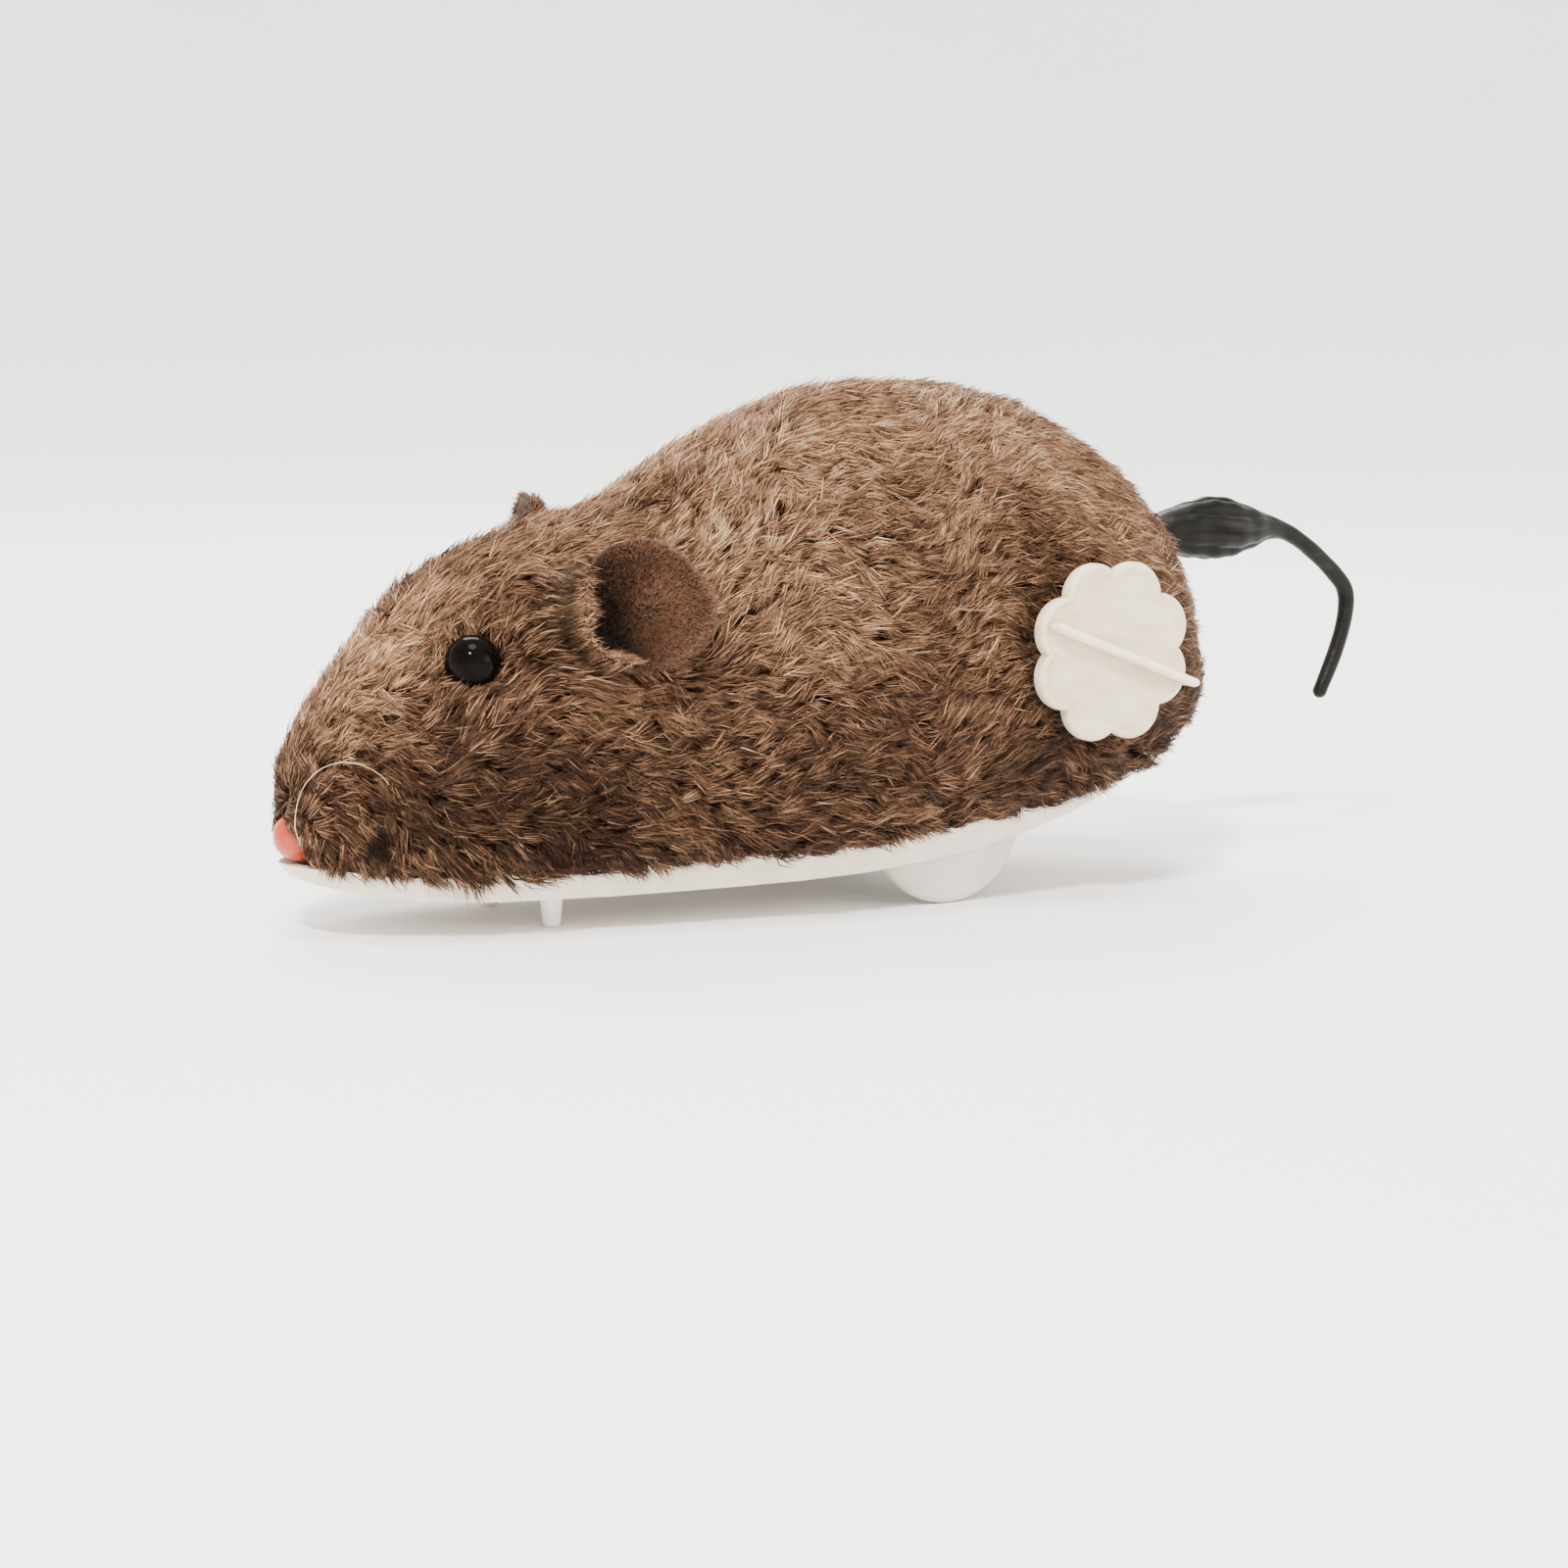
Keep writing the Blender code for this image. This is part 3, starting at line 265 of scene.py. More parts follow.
def sheet_faces(rows, columns, wrap=False):
    """Quads of a grid of points, its last column joined to the first if it wraps."""
    row = np.arange(rows - 1)[:, None]
    column = np.arange(columns if wrap else columns - 1)[None, :]
    after = (column + 1) % columns
    here, there = row * columns, (row + 1) * columns
    return np.stack([here + column, here + after, there + after, there + column], -1).reshape(-1, 4)


def new_piece(name, points, faces, look, body, replaced=(), sharp=None):
    """A smooth-shaded object from points in metres, riding on a body of the frame."""
    mesh = bpy.data.meshes.new(name)
    mesh.from_pydata(np.asarray(points).reshape(-1, 3).tolist(), [], [list(face) for face in faces])
    mesh.shade_smooth()
    if sharp is not None:
        mesh.set_sharp_from_angle(angle=math.radians(sharp))
    mesh.materials.append(look)
    made = add(name, mesh)
    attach(made, body)
    if replaced:
        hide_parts(*replaced)
    return made


def waves(points, length, count, seed):
    """Smooth noise of about -1..1: the mean of plane waves of about one wavelength in millimetres."""
    draw = np.random.default_rng(seed)
    ways = draw.normal(size=(count, 3))
    ways *= 2 * math.pi / length / np.linalg.norm(ways, axis=1, keepdims=True)
    ways *= draw.uniform(0.7, 1.4, (count, 1))
    phases = draw.uniform(0, 2 * math.pi, count)
    return np.sin(points @ ways.T + phases).sum(axis=1) * math.sqrt(2 / count) / 1.6


def tufts(points, size, seed):
    """Nearest tuft centre of each point: one centre at random in every cube of a grid, and each
    point looks through its own cube and the 26 round it. Returns the centres and a number each."""
    draw = np.random.default_rng(seed).random((4096, 4))
    cell = np.floor(points / size).astype(np.int64)
    best = np.full(len(points), np.inf)
    centre = np.zeros_like(points)
    mark = np.zeros(len(points))
    for offset in np.ndindex(3, 3, 3):
        near = cell + np.array(offset) - 1
        key = (near[:, 0] * 73856093 ^ near[:, 1] * 19349663 ^ near[:, 2] * 83492791) & 4095
        spot = (near + draw[key, :3]) * size
        gap = ((spot - points) ** 2).sum(axis=1)
        closer = gap < best
        best = np.where(closer, gap, best)
        centre = np.where(closer[:, None], spot, centre)
        mark = np.where(closer, draw[key, 3], mark)
    return centre, mark


def bump(tree, shader, value, height, strength=1.0):
    """Raises the surface by a pattern, height in metres."""
    made = tree.nodes.new("ShaderNodeBump")
    made.inputs["Distance"].default_value = height
    made.inputs["Strength"].default_value = strength
    tree.links.new(value, made.inputs["Height"])
    tree.links.new(made.outputs["Normal"], shader.inputs["Normal"])


def linear(red, green, blue):
    """Screen colour to the linear light that shaders mix."""
    return tuple(
        ((c + 0.055) / 1.055) ** 2.4 if c > 0.04045 else c / 12.92 for c in (red, green, blue)
    )


backing_cloth, backing_tree, backing_shader = material("backing_cloth", 0.95)
paint(
    backing_tree, backing_shader, noise(backing_tree, 900.0),
    (0.3, linear(0.24, 0.155, 0.10)), (0.7, linear(0.36, 0.25, 0.17)),
)
bump(backing_tree, backing_shader, noise(backing_tree, 1500.0), 0.0003)

backing_along = np.linspace(0.06, math.pi - 0.06, 90)[:, None]
backing_turn = np.linspace(-HEM_TURN, HEM_TURN, 91)[None, :]
backing_grid = body_point(backing_along, backing_turn)
backing_out = body_frame(*np.broadcast_arrays(backing_along, backing_turn))[2]
hem_ease = np.clip((HEM_TURN - np.abs(backing_turn)) / HEM_EASE, 0, 1)
backing_sink = HEM_SINK + (BACKING_DEPTH - HEM_SINK) * hem_ease * np.ones_like(backing_along)
outer = backing_grid - backing_out * backing_sink[..., None]
inner = backing_grid - backing_out * (backing_sink + BACKING_CLOTH * (0.3 + 0.7 * hem_ease))[..., None]
rows, columns = outer.shape[:2]
count = rows * columns
ends = [outer[0].mean(0), outer[-1].mean(0), inner[0].mean(0), inner[-1].mean(0)]
faces = [tuple(face) for face in sheet_faces(rows, columns)]
faces += [tuple(face[::-1] + count) for face in sheet_faces(rows, columns)]
for side in range(columns - 1):
    faces.append((2 * count, side + 1, side))
    faces.append((2 * count + 1, count - columns + side, count - columns + side + 1))
    faces.append((2 * count + 2, count + side, count + side + 1))
    faces.append((2 * count + 3, 2 * count - columns + side + 1, 2 * count - columns + side))
hem = [row * columns for row in range(rows)] + [2 * count + 1]
hem += [row * columns + columns - 1 for row in reversed(range(rows))] + [2 * count]
inside = {2 * count: 2 * count + 2, 2 * count + 1: 2 * count + 3}
for here, there in zip(hem, hem[1:] + hem[:1]):
    faces.append((here, there, inside.get(there, there + count), inside.get(here, here + count)))
new_piece(
    "plush_backing", place(np.vstack([outer.reshape(-1, 3), inner.reshape(-1, 3), ends])), faces,
    backing_cloth, "chassis", ["plush_skin"],
)

# The pile itself. Each hair is a three-sided spindle with a bend: it starts in a point inside the
# cloth, is widest at the bend, and ends in a point. Tufts draw their hairs' tips together.

HAIRS = 276_000
GRID_STEPS = 240
HAIR_WIDTH = 0.078
HAIR_LENGTH = 3.7
TUFT = 1.35
TUFT_TURN = 0.68
KNOB_KEEP_OUT = 10.6
FLAT_LENGTH, FLAT_LIFT = 0.85, 0.35
ARBOR_OPENING, NOSE_OPENING, TAIL_OPENING = 3.2, 3.4, 2.9
BARE_REACH = 7.5
TAIL_SIDE = 40
ARBOR_PLACE = np.array([31.5, 28.9])
TAIL_HEIGHT = 39.5
EYE_SPOT = (math.radians(46), math.radians(52.5))
EYE_OPENING = (1 / 2.7, 1 / 2.4, 1 / 1.6)
NOSE_CENTRE = np.array([-53.0, 0.0, 10.9])
SPOT_TINT = linear(0.13, 0.075, 0.045)
TINTS = tuple(linear(*tint) for tint in (
    (0.24, 0.15, 0.098), (0.51, 0.37, 0.268), (0.73, 0.555, 0.415), (0.97, 0.82, 0.65),
))

grid_along = np.linspace(0.02, math.pi - 0.02, GRID_STEPS + 1)
grid_turn = np.linspace(-HEM_TURN, HEM_TURN, GRID_STEPS + 1)
corners = body_point(grid_along[:, None], grid_turn[None, :])
sides = np.cross(corners[1:, :-1] - corners[:-1, :-1], corners[:-1, 1:] - corners[:-1, :-1])
areas = np.linalg.norm(sides, axis=-1).ravel()
picked = rng.choice(len(areas), HAIRS, p=areas / areas.sum())
hair_along = grid_along[picked // GRID_STEPS] + rng.random(HAIRS) * (grid_along[1] - grid_along[0])
hair_turn = grid_turn[picked % GRID_STEPS] + rng.random(HAIRS) * (grid_turn[1] - grid_turn[0])

surface = body_point(hair_along, hair_turn)
tailward, downward, outward = body_frame(hair_along, hair_turn)
side_share = np.clip((np.abs(hair_turn) - math.radians(50)) / math.radians(60), 0, 1)
hem_share = np.clip((np.abs(hair_turn) - math.radians(100)) / math.radians(24), 0, 1)
head_share = np.clip((-20 - surface[:, 0]) / 18, 0, 1)
swirl = waves(surface, 26.0, 9, 3) * 0.55 + waves(surface, 9.0, 11, 4) * 0.35
drop = 0.15 * side_share + 0.7 * side_share * head_share + 0.5 * hem_share + swirl
way = tailward + downward * drop[:, None]
way /= np.linalg.norm(way, axis=1, keepdims=True)

# Each tuft leans, curls and rises in its own way; its number is spread into four even draws.
centre, mark = tufts(surface + way * 0.8, TUFT, 5)
TUFT_FACTORS = (7.0, 53.0, 191.0, 617.0)
tuft_lean, tuft_curl, tuft_rise, tuft_long = ((mark * factor) % 1 - 0.5 for factor in TUFT_FACTORS)
across_way = np.cross(outward, way)
way = way + across_way * (2 * TUFT_TURN * tuft_lean)[:, None]
way /= np.linalg.norm(way, axis=1, keepdims=True)
length = HAIR_LENGTH * (1 + 0.10 * waves(surface, 14.0, 9, 6) + 0.30 * tuft_long)
length += 0.35 * rng.standard_normal(HAIRS)
length *= 1.0 - 0.22 * np.clip((-44 - surface[:, 0]) / 10, 0, 1)
lift = 0.58 + 0.12 * waves(surface, 7.0, 9, 7) + 0.34 * tuft_rise + 0.10 * rng.standard_normal(HAIRS)
lift = np.clip(lift, 0.2, 1.1)
hem_ease = np.clip((HEM_TURN - np.abs(hair_turn)) / HEM_EASE, 0, 1)
sink = HEM_SINK + (BACKING_DEPTH - HEM_SINK) * hem_ease

# Shorter and flatter pile behind the knob, no hairs in the eyes, the nose or the tail's mouth.
knob_gap = np.hypot(surface[:, 0] - ARBOR_PLACE[0], surface[:, 2] - ARBOR_PLACE[1])
behind = (surface[:, 1] < 0) & (knob_gap < KNOB_KEEP_OUT)
length = np.where(behind, length * FLAT_LENGTH, length)
lift = np.where(behind, FLAT_LIFT, lift)
eyes = [body_point(EYE_SPOT[0], sign * EYE_SPOT[1]) for sign in (-1.0, 1.0)]
eye_gap = np.minimum(*[np.linalg.norm(surface - eye, axis=1) for eye in eyes])
lid_gap = np.minimum(*[np.linalg.norm((surface - eye) * EYE_OPENING, axis=1) for eye in eyes])
nose_gap = np.linalg.norm(surface - NOSE_CENTRE, axis=1)
tail_gap = np.hypot(surface[:, 1], surface[:, 2] - TAIL_HEIGHT) + 99 * (surface[:, 0] < TAIL_SIDE)
arbor_clear = (surface[:, 1] > 0) | (knob_gap > ARBOR_OPENING)
keep = (lid_gap > 1) & (nose_gap > NOSE_OPENING) & (tail_gap > TAIL_OPENING) & arbor_clear
eye_nearest = np.where(surface[:, 1:2] < 0, eyes[0], eyes[1])
ahead_of_eye = ((eye_nearest - surface) * way).sum(axis=1) > 0
before_eye = (eye_gap < BARE_REACH) & ahead_of_eye
length = np.where(before_eye, np.minimum(length, eye_gap - 1.3), length)
short_by_nose = np.minimum(length, np.maximum(1.3, nose_gap - 2.9))
length = np.where(nose_gap < BARE_REACH, short_by_nose, length)
# The head's fur is long in front of each ear and leans back across its root, and the rump's fur
# makes a collar that lies along the tail's bush.
ear_offset = surface - np.array([-29.6, 0.0, 33.0]) - np.where(surface[:, 1:2] > 0, 1.5, 0.0) * (1, 0, 1)
ear_share = np.clip(1.6 - np.hypot(ear_offset[:, 0] / 3.2, ear_offset[:, 2] / 4.6), 0, 1)
ear_way = np.stack([0.66 * np.ones(HAIRS), 0.74 * np.sign(surface[:, 1]), 0.14 * np.ones(HAIRS)], axis=-1)
length *= 1 + 1.15 * ear_share * (0.55 + 0.6 * rng.random(HAIRS))
collar_share = np.clip((6.2 - tail_gap) / 2.2, 0, 1)

root = surface - outward * (sink + 0.25)[:, None]
pull = centre - surface
pull -= outward * (pull * outward).sum(axis=1, keepdims=True)
fray = rng.standard_normal((HAIRS, 3)) * 0.17
path = way + outward * lift[:, None] + fray
path += (ear_way * 2.6 - path * 0.6) * ear_share[:, None]
path += (np.array([1.5, 0.0, 0.0]) - path * 0.75) * collar_share[:, None]
path /= np.linalg.norm(path, axis=1, keepdims=True)
curl = across_way * (tuft_curl * 1.3 + 0.12 * rng.standard_normal(HAIRS))[:, None]
bend = root + (path * 0.75 + outward * 0.5) * (length * 0.48)[:, None] + pull * 0.25 + curl * 0.9
tip = root + path * length[:, None] + pull * 0.68 - curl * 0.6
tip -= outward * (0.05 * np.minimum(length, 4.5) ** 1.4 * (1 - collar_share))[:, None]

# Hairs by the hem stop a little below it, apart from a few stragglers, so the tray stays in sight.
hem_height = body_point(hair_along, np.full(HAIRS, HEM_TURN))[:, 2]
hem_wave = np.clip(waves(surface * (1, 0.2, 0), 10.0, 7, 12), 0, 1)
hem_hang = 0.35 + 1.5 * hem_wave + 2.0 * np.exp(-(((surface[:, 0] + 37) / 3.5) ** 2))
hem_hang += 1.1 * np.exp(-(((surface[:, 0] + 24) / 3) ** 2))
lowest = hem_height - hem_hang - rng.exponential(0.45, HAIRS)
hang = np.clip((root[:, 2] - lowest) / np.maximum(root[:, 2] - tip[:, 2], 1e-6), 0.3, 1.0)
hang = np.where(tip[:, 2] < lowest, hang, 1.0)[:, None]
bend = root + (bend - root) * hang
tip = root + (tip - root) * hang

# Tint: broad patches, tufts and single hairs vary; the pile is painted lighter on the back, the head and
# the snout's top, a painted highlight as if lit from above.
patch = 0.5 + 0.5 * waves(surface, 17.0, 9, 8)
# Painted highlight: this share lightens the pile towards the top, as light from above would.
top_light_share = np.clip((surface[:, 2] - 6) / 46, 0, 1)
# Painted shade between tufts: hairs at a tuft's edge are painted darker, those at its heart lighter.
tuft_light_share = np.clip(1 - np.linalg.norm(pull, axis=1) / TUFT, 0, 1)
# Painted shade: a darker band along the lower flank, deeper on the cheek, where the pile lies in shade
# below the light from above.
flank_shade_band = np.exp(-(((surface[:, 2] - 17) / 7) ** 2)) * (0.7 + 0.6 * patch)
cheek_shade_band = flank_shade_band * np.clip((-24 - surface[:, 0]) / 10, 0, 1)
tone = 0.08 + 0.42 * top_light_share + 0.24 * tuft_light_share + 0.24 * (mark - 0.5) + 0.20 * (patch - 0.5)
tone += 0.20 * rng.standard_normal(HAIRS) - 0.14 * flank_shade_band - 0.06 * cheek_shade_band
tone += 0.10 * waves(surface, 3.0, 11, 13) - 0.26 * (rng.random(HAIRS) < 0.16)
# The snout's top is painted lighter still: painted highlight.
tone += 0.17 * np.clip((-42 - surface[:, 0]) / 6, 0, 1) * top_light_share / 0.4
tone -= 0.09 * np.exp(-(((surface[:, 0] + 33) / 9) ** 2))
tone = np.clip(tone, 0, 1)
ladder = np.array(TINTS)
tip_tint = np.stack([np.interp(tone, (0, 0.33, 0.66, 1), ladder[:, i]) for i in range(3)], axis=-1)
cheeks = [body_point(math.radians(28), sign * math.radians(104)) for sign in (-1.0, 1.0)]
cheek_gap = np.minimum(*[np.linalg.norm(surface - cheek, axis=1) for cheek in cheeks])
spot_share = np.clip((2.2 - cheek_gap) / 1.2, 0, 1)[:, None]
tip_tint = tip_tint * (1 - spot_share) + np.array(SPOT_TINT) * spot_share
root_tint = tip_tint * 0.24
bend_tint = tip_tint * 0.52

fur_look, fur_tree, fur_shader = material("pile", 0.62)
tint_source = fur_tree.nodes.new("ShaderNodeVertexColor")
tint_source.layer_name = "tint"
fur_tree.links.new(tint_source.outputs["Color"], fur_shader.inputs["Base Color"])
fur_shader.inputs["Specular IOR Level"].default_value = 0.14

SPINDLE = np.array([(0, 2, 1), (0, 3, 2), (0, 1, 3), (4, 1, 2), (4, 2, 3), (4, 3, 1)])


def spindles(name, first, middle, last, widths, colours, look, body):
    """Closed three-sided spindles from a first point through a triangle at the middle to the last
    point. colours holds the first, middle and last points' tints."""
    line = last - first
    line /= np.linalg.norm(line, axis=1, keepdims=True)
    across = np.cross(line, np.array([0.31, 0.17, 0.93]))
    across /= np.linalg.norm(across, axis=1, keepdims=True)
    other = np.cross(line, across)
    angles = np.arange(3) * 2 * math.pi / 3
    ring = across[:, None] * np.cos(angles)[None, :, None]
    ring = ring + other[:, None] * np.sin(angles)[None, :, None]
    ring = middle[:, None] + ring * widths[:, None, None]
    points = np.concatenate([first[:, None], ring, last[:, None]], axis=1)
    faces = (np.arange(len(first))[:, None, None] * 5 + SPINDLE).reshape(-1, 3)
    mesh = bpy.data.meshes.new(name)
    mesh.vertices.add(len(first) * 5)
    mesh.vertices.foreach_set("co", place(points).astype(np.float32).ravel())
    mesh.loops.add(faces.size)
    mesh.loops.foreach_set("vertex_index", faces.astype(np.int32).ravel())
    mesh.polygons.add(len(faces))
    mesh.polygons.foreach_set("loop_start", np.arange(0, faces.size, 3, dtype=np.int32))
    mesh.update(calc_edges=True)
    mesh.shade_smooth()
    tints = np.stack([colours[0], colours[1], colours[1], colours[1], colours[2]], axis=1)
    tints = np.concatenate([tints, np.ones((*tints.shape[:2], 1))], axis=-1)
    layer = mesh.color_attributes.new("tint", "FLOAT_COLOR", "POINT")
    layer.data.foreach_set("color", tints.astype(np.float32).ravel())
    mesh.materials.append(look)
    made = add(name, mesh)
    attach(made, body)
    return made


widths = HAIR_WIDTH * rng.uniform(0.75, 1.3, HAIRS)
FUR_BANDS = (
    ("snout", -99, -36), ("neck", -36, -17), ("shoulder", -17, 0), ("saddle", 0, 14),
    ("loin", 14, 28), ("haunch", 28, 41), ("rump", 41, 99),
)
for band, band_low, band_high in FUR_BANDS:
    for side, sign in (("left", -1), ("right", 1)):
        here = keep & (surface[:, 0] >= band_low) & (surface[:, 0] < band_high) & (hair_turn * sign > 0)
        spindles(
            f"fur_{band}_{side}", root[here], bend[here], tip[here], widths[here],
            (root_tint[here], bend_tint[here], tip_tint[here]), fur_look, "chassis",
        )


# The ears: two cupped discs of short felt, sewn in by their front lower edge so that the upper
# front rim curls over the hollow. A short pile stands on both faces.

EAR_CUP = 2.6
EAR_FELT = 0.9
EAR_CURL_TURN = math.radians(132)
EAR_ROOT_TURN = math.radians(205)
EAR_RINGS = 26
EAR_HAIRS = 15_000
EAR_HAIR_WIDTH = 0.06
FRINGE_HAIRS = 800
FRINGE_CLUMPS = 11
FRINGE_TURNS = (math.radians(158), math.radians(256))
# Name, side, radius, curl of the upper front rim, centre, facing.
EARS = (
    ("left_ear", -1, 6.2, 3.4, (-20.9, -19.7, 35.0), (-0.60, -0.76, 0.24)),
    ("right_ear", 1, 5.8, 0.9, (-15.4, 18.6, 38.4), (-0.84, 0.48, 0.25)),
)
# The darkest ear tint is painted shade: the near-black of the hollow under the curled rim, by the sewn-in
# edge.
EAR_SHADE = np.array(linear(0.11, 0.06, 0.035))
EAR_MID = np.array(linear(0.31, 0.205, 0.145))
EAR_PALE = np.array(linear(0.52, 0.375, 0.28))

felt_look, felt_tree, felt_shader = material("ear_felt_base", 0.95)
paint(
    felt_tree, felt_shader, noise(felt_tree, 1100.0),
    (0.3, linear(0.15, 0.095, 0.06)), (0.7, linear(0.27, 0.18, 0.125)),
)
bump(felt_tree, felt_shader, noise(felt_tree, 1800.0), 0.0003)


def ear_axes(sign, facing):
    """Unit vectors along the ear's facing, tailward across it, and up it."""
    facing = np.array(facing) / np.linalg.norm(facing)
    across = np.cross((0.0, 0.0, 1.0), facing) * -sign
    across /= np.linalg.norm(across)
    rise = np.cross(facing, across)
    return facing, across, rise * np.sign(rise[2])


def ear_point(share, turn, lift, radius, curling, centre, axes):
    """The hollow face at lift 1 and the back at lift 0: a paraboloid bowl, cup times share
    squared deep, plus a curl that grows with share cubed round the upper front rim."""
    facing, across, rise = axes
    edge = radius * share * (1 + 0.04 * np.cos(3 * turn + 0.6) + 0.02 * np.cos(5 * turn))
    curl = curling * share**2.6 * np.clip(0.15 + 0.85 * np.cos(turn - EAR_CURL_TURN), 0, 1) ** 1.2
    bowl = EAR_CUP * (share**2 - 0.5) + curl + EAR_FELT * lift
    flat = (edge * np.cos(turn))[..., None] * across + (edge * np.sin(turn))[..., None] * rise
    return np.array(centre) + flat + bowl[..., None] * facing


def closed_rings(rings):
    """Points and faces of a tube of rings, closed by a point at each end, faces outward: the
    signed volume of its faces says whether they have to be turned round."""
    rows, columns = rings.shape[:2]
    points = np.vstack([rings.reshape(-1, 3), rings[0].mean(0), rings[-1].mean(0)])
    quads = sheet_faces(rows, columns, wrap=True)
    column = np.arange(columns)
    after = (column + 1) % columns
    last = (rows - 1) * columns
    first_fan = np.stack([np.full(columns, rows * columns), after, column], axis=-1)
    last_fan = np.stack([np.full(columns, rows * columns + 1), last + column, last + after], axis=-1)
    halves = np.vstack([quads[:, [0, 1, 2]], quads[:, [0, 2, 3]], first_fan, last_fan])
    a, b, c = (points[halves[:, i]] for i in range(3))
    order = 1 if (np.cross(a, b) * c).sum() > 0 else -1
    faces = [*quads[:, ::order], *first_fan[:, ::order], *last_fan[:, ::order]]
    return points, [tuple(int(i) for i in face) for face in faces]


for name, sign, ear_radius, ear_curl, ear_centre, ear_facing in EARS:
    axes = ear_axes(sign, ear_facing)
    form = (ear_radius, ear_curl, ear_centre, axes)
    half_turn = np.linspace(0, math.pi, 9)
    hollow = np.linspace(0.03, 1, EAR_RINGS)
    shares = np.concatenate([hollow, 1 + 0.06 * np.sin(half_turn)[1:-1], np.linspace(1, 0.03, EAR_RINGS)])
    rim_lift = 0.5 + 0.5 * np.cos(half_turn)[1:-1]
    lifts = np.concatenate([np.ones(EAR_RINGS), rim_lift, np.zeros(EAR_RINGS)])
    turns = np.linspace(0, 2 * math.pi, 97)[:-1]
    rings = ear_point(*np.broadcast_arrays(shares[:, None], turns[None, :], lifts[:, None]), *form)
    points, faces = closed_rings(rings)
    new_piece(f"{name}_felt", place(points), faces, felt_look, "chassis", [name])

    share = np.sqrt(rng.uniform(0.0, 1.0, EAR_HAIRS))
    turn = rng.uniform(0, 2 * math.pi, EAR_HAIRS)
    lift = np.where(rng.random(EAR_HAIRS) < 0.55, 1.0, 0.0)
    base = ear_point(share, turn, lift, *form)
    ahead = ear_point(np.minimum(share + 0.05, 1.05), turn, lift, *form)
    way_out = ahead - base
    way_out /= np.linalg.norm(way_out, axis=1, keepdims=True)
    stand = axes[0] * np.where(lift > 0.5, 1, -1)[:, None]
    comb = way_out * 0.75 + axes[1] * 0.55 + stand * 0.5 + rng.standard_normal((EAR_HAIRS, 3)) * 0.38
    comb /= np.linalg.norm(comb, axis=1, keepdims=True)
    ear_length = 1.05 + 0.55 * rng.random(EAR_HAIRS)
    start = base - stand * 0.1
    middle = start + (comb + stand * 0.25) * (ear_length * 0.45)[:, None]
    finish = start + comb * ear_length[:, None]
    # Painted shade: the ear pile darkens towards the sewn-in front lower edge, half as much on the back
    # face, where the curled rim shades the hollow.
    ear_shade_share = np.clip(np.cos(turn - EAR_ROOT_TURN) * share * 1.5 + 0.12, 0, 1)
    ear_shade_share = ear_shade_share * np.where(lift > 0.5, 1, 0.5)
    ear_tone = 0.55 + 0.25 * rng.standard_normal(EAR_HAIRS) + 0.15 * waves(base, 5.0, 9, 21)
    ear_tone = ear_tone.clip(0, 1)[:, None]
    tint = EAR_MID * (1 - ear_tone) + EAR_PALE * ear_tone
    tint = tint * (1 - ear_shade_share[:, None]) + EAR_SHADE * ear_shade_share[:, None]
    spindles(
        f"{name}_pile", start, middle, finish, np.full(EAR_HAIRS, EAR_HAIR_WIDTH),
        (tint * 0.45, tint * 0.7, tint), fur_look, "chassis",
    )

    # Long hairs of the head rise before the ear's root, bend on its rim and end over the hollow.
    clump = rng.integers(0, FRINGE_CLUMPS, FRINGE_HAIRS)
    clump_turn = np.linspace(*FRINGE_TURNS, FRINGE_CLUMPS)[clump]
    clump_reach = rng.uniform(-0.6, 2.9, FRINGE_CLUMPS)[clump] + 0.5 * rng.standard_normal(FRINGE_HAIRS)
    clump_rise = rng.uniform(-0.9, 1.1, FRINGE_CLUMPS)[clump] + 0.25 * rng.standard_normal(FRINGE_HAIRS)
    rim_turn = clump_turn + 0.10 * rng.standard_normal(FRINGE_HAIRS)
    rim = ear_point(np.ones(FRINGE_HAIRS), rim_turn, np.ones(FRINGE_HAIRS), *form)
    rim += axes[0] * rng.uniform(0.15, 0.7, (FRINGE_HAIRS, 1))
    start = rim - axes[1] * rng.uniform(2.4, 4.2, (FRINGE_HAIRS, 1)) - axes[0] * 2.4
    start += axes[2] * 0.8 * rng.standard_normal((FRINGE_HAIRS, 1))
    finish = rim + axes[1] * clump_reach[:, None] + axes[2] * clump_rise[:, None]
    finish += axes[0] * rng.uniform(-0.2, 0.7, (FRINGE_HAIRS, 1))
    fringe_tone = np.clip(0.34 + 0.24 * rng.standard_normal(FRINGE_HAIRS), 0, 1)
    tint = np.stack([np.interp(fringe_tone, (0, 0.33, 0.66, 1), ladder[:, i]) for i in range(3)], axis=-1)
    spindles(
        f"{name}_fringe", start, rim, finish, np.full(FRINGE_HAIRS, HAIR_WIDTH),
        (tint * 0.3, tint * 0.7, tint), fur_look, "chassis",
    )


# The eyes and the nose: moulded beads, black and opaque for the eyes, red and faintly
# translucent for the nose, each sunk into the plush.

EYE_RADIUS = 3.0
EYE_SINK = 1.5
NOSE_RADIUS = 2.7


def turned_rings(profile, centre, axis, sides):
    """Rings of a solid of revolution: each profile row is a distance along the axis and a radius."""
    axis = np.array(axis, float) / np.linalg.norm(axis)
    first = np.cross(axis, (0.13, 0.31, 0.94))
    first /= np.linalg.norm(first)
    second = np.cross(axis, first)
    angles = np.linspace(0, 2 * math.pi, sides + 1)[:-1]
    spokes = np.cos(angles)[:, None] * first + np.sin(angles)[:, None] * second
    profile = np.asarray(profile, float)
    along_axis = np.array(centre) + profile[:, :1] * axis
    return along_axis[:, None] + profile[:, 1][:, None, None] * spokes[None]


